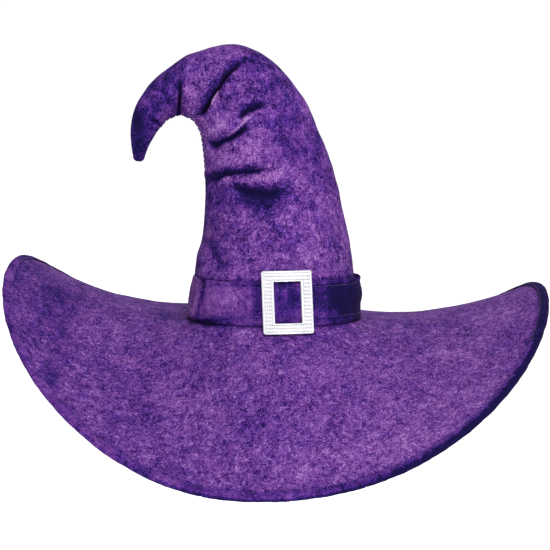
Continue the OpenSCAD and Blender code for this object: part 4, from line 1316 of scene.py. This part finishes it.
# ------------------------------------------------------------------ sweatband: a ribbed ribbon whose lower edge is turned out over the seam
NS_ = 360
an = np.linspace(0, 2 * np.pi, NS_, endpoint=False)
sprof = [(91.55, 25.9), (91.5, 25.0), (91.5, 18), (91.5, 10), (91.5, 4), (91.55, 1.4), (91.8, 0.3), (92.5, -0.35), (93.8, -0.6), (95.4, -0.65), (96.6, -0.6), (97.4, -0.75),
         (97.6, -1.0), (97.3, -1.3), (96.2, -1.45), (94.5, -1.5), (92.6, -1.4), (91.5, -0.9), (90.9, 0.0)]
# the inner run is the face towards the head; the section is closed on the crown's side
inner_run = [(91.5, 0.2), (91.5, 2), (91.5, 6), (91.5, 12), (91.5, 18), (91.5, 23), (91.55, 25.2), (91.75, 25.9), (92.1, 26.0), (92.4, 25.7), (92.5, 25.0),
             (92.5, 18), (92.5, 10), (92.5, 2.0), (92.55, 0.8), (92.9, 0.1), (93.6, -0.25), (95.0, -0.4), (96.4, -0.4), (97.2, -0.45), (97.5, -0.75), (97.2, -1.1),
             (96.0, -1.3), (94.2, -1.35), (92.8, -1.15), (91.9, -0.65)]
ir = np.array(inner_run)
nsw = len(ir)
wv = 0.10 * noise3(np.stack([an * 92, an * 0, an * 0], -1), 30, 61) + 0.10 * np.abs(noise3(np.stack([an * 92, an * 0, an * 0], -1), 9, 62))
SW = np.zeros((NS_, nsw, 3))
flat_a = np.zeros((NS_, nsw, 3))
ln_s = np.concatenate([[0], np.cumsum(np.hypot(*np.diff(ir, axis=0).T))])
for i in range(nsw):
    r_ = ir[i, 0] + np.where(ir[i, 1] > -0.2, wv * (0 if ir[i, 0] > 92.2 else 1), 0)
    SW[:, i] = np.stack([r_ * np.cos(an), r_ * np.sin(an), np.full(NS_, ir[i, 1]) + (0.12 * noise3(np.stack([an * 92, an * 0, an * 0], -1), 14, 63) if ir[i, 1] < 0 else 0)], -1)
    flat_a[:, i] = np.stack([an * 92, an * 0, np.full(NS_, ln_s[i])], -1)
jj, ii = np.meshgrid(np.arange(NS_), np.arange(nsw), indexing="ij")
k2, w2 = (ii + 1) % nsw, (jj + 1) % NS_
fsw = np.stack([jj * nsw + ii, w2 * nsw + ii, w2 * nsw + k2, jj * nsw + k2], -1).reshape(-1, 4)
sweat = new_mesh("sweatband_ribbon", SW, fsw, attrs={"flat": flat_a.reshape(-1, 3) / 1000, "rest": flat_a.reshape(-1, 3) / 1000, "nap_and_painted_shade": np.zeros(NS_ * nsw)})
bm = bmesh.new()
bm.from_mesh(sweat.data)
bmesh.ops.recalc_face_normals(bm, faces=bm.faces)
bm.to_mesh(sweat.data)
bm.free()
give(sweat, MAT_SWEAT)

# ------------------------------------------------------------------ care label: a blank folded tab of satin tape
nlz, nlx = 26, 14
LZ, LX = np.meshgrid(np.linspace(0, 1, nlz), np.linspace(-1, 1, nlx), indexing="ij")
lab_y = HEAD_R - 1.6 - 30 * math.sin(math.radians(14)) * LZ - 1.6 * np.sin(math.pi * LZ) * 0.6 - 0.5 * LX ** 2 + 0.25 * LX * LZ
lab = np.stack([12.3 * LX + 0.6 * LZ, lab_y, 26.3 + 29.0 * LZ], -1)
label = new_mesh("care_label_tab", lab, grid_faces(nlz, nlx, False), attrs={"rest": (np.stack([LX * 12.5, LX * 0, LZ * 30], -1)).reshape(-1, 3) / 1000, "nap_and_painted_shade": np.zeros(nlz * nlx)})
give(label, MAT_LABEL)
solidify(label, 0.3, 0.0)

# ------------------------------------------------------------------ CAD nodes that stay: the wire in the edge and its joining tube
for nm, mt in (("brim_wire", MAT_WIRE), ("wire_ferrule", MAT_FERRULE)):
    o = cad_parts[nm]
    o.data.materials.clear()
    o.data.materials.append(mt)

# ------------------------------------------------------------------ bodies and stand-ins: each new piece goes on its body, and the CAD pieces it stands in for are hidden
for o in (crown, foam, lining, tape):
    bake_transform(o)
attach(wadding, "crown_tip")
for o in (brim_top, brim_foam, brim_under, binding, bind_st, band, band_st, sweat, label):
    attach(o, "root")
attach(buckle, "buckle")
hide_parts("crown_cover", "tip_cover")
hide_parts("crown_interlining", "tip_interlining")
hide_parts("crown_lining", "tip_lining")
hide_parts("crown_gathering_tape", "tip_gathering_tape")
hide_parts("tip_wadding")
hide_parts("brim_top_cover")
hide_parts("brim_core")
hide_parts("brim_under_cover")
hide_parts("brim_binding")
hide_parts("binding_stitching")
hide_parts("sweatband")
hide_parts("care_label")
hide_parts("hat_band")
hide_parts("band_stitching")
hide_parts("buckle_frame")

# ------------------------------------------------------------------ stage and light
floor_v = [(-30000, -30000, -620), (30000, -30000, -620), (30000, 30000, -620), (-30000, 30000, -620)]
floor = new_mesh("floor", floor_v, [[0, 1, 2, 3]], smooth_shade=False)
FM = Mat("floor_pale")
fn = FM.noise(object_coords(FM), 0.6, 2)
FM.link(FM.mix(fn, (0.93, 0.93, 0.93), (0.95, 0.95, 0.95)), FM.b.inputs["Base Color"])
FM.set(Roughness=0.9, Specular_IOR_Level=0.1, Emission_Color=(1.0, 1.0, 1.0), Emission_Strength=0.62)
give(floor, FM.m)

world = bpy.data.worlds.new("world")
world.use_nodes = True
bg = world.node_tree.nodes["Background"]
bg.inputs["Color"].default_value = (1, 1, 1, 1)
bg.inputs["Strength"].default_value = 1.02
wt = world.node_tree
w_co = wt.nodes.new("ShaderNodeTexCoord")
w_sep = wt.nodes.new("ShaderNodeSeparateXYZ")
wt.links.new(w_co.outputs["Generated"], w_sep.inputs[0])
w_ramp = wt.nodes.new("ShaderNodeValToRGB")
w_ramp.color_ramp.elements[0].position = 0.22
w_ramp.color_ramp.elements[0].color = (1, 1, 1, 1)
w_ramp.color_ramp.elements[1].position = 0.75
w_ramp.color_ramp.elements[1].color = (0.42, 0.42, 0.43, 1)
wt.links.new(w_sep.outputs["Z"], w_ramp.inputs["Fac"])
wt.links.new(w_ramp.outputs["Color"], bg.inputs["Color"])
bpy.context.scene.world = world


def area_light(name, loc, target, size, energy, color=(1, 1, 1)):
    d = bpy.data.lights.new(name, "AREA")
    d.shape = "RECTANGLE"
    d.size, d.size_y = size
    d.energy = energy
    d.color = color
    o = bpy.data.objects.new(name, d)
    o.location = Vector(loc)
    o.rotation_euler = (Vector(target) - Vector(loc)).to_track_quat("-Z", "Y").to_euler()
    bpy.context.scene.collection.objects.link(o)
    return o


area_light("key", (0.55, -2.3, 2.5), (0, 0, 0.05), (0.9, 0.9), 105)
area_light("fill", (1.6, -2.4, 0.5), (0, 0, 0.05), (1.4, 1.4), 16)
area_light("rim", (0.6, 2.2, 1.6), (0, 0, 0.1), (1.4, 1.0), 16)

sc = bpy.context.scene
sc.view_settings.view_transform = "Standard"
sc.view_settings.look = "None"
sc.view_settings.exposure = 0.0
sc.view_settings.gamma = 1.0
sc.render.film_transparent = False
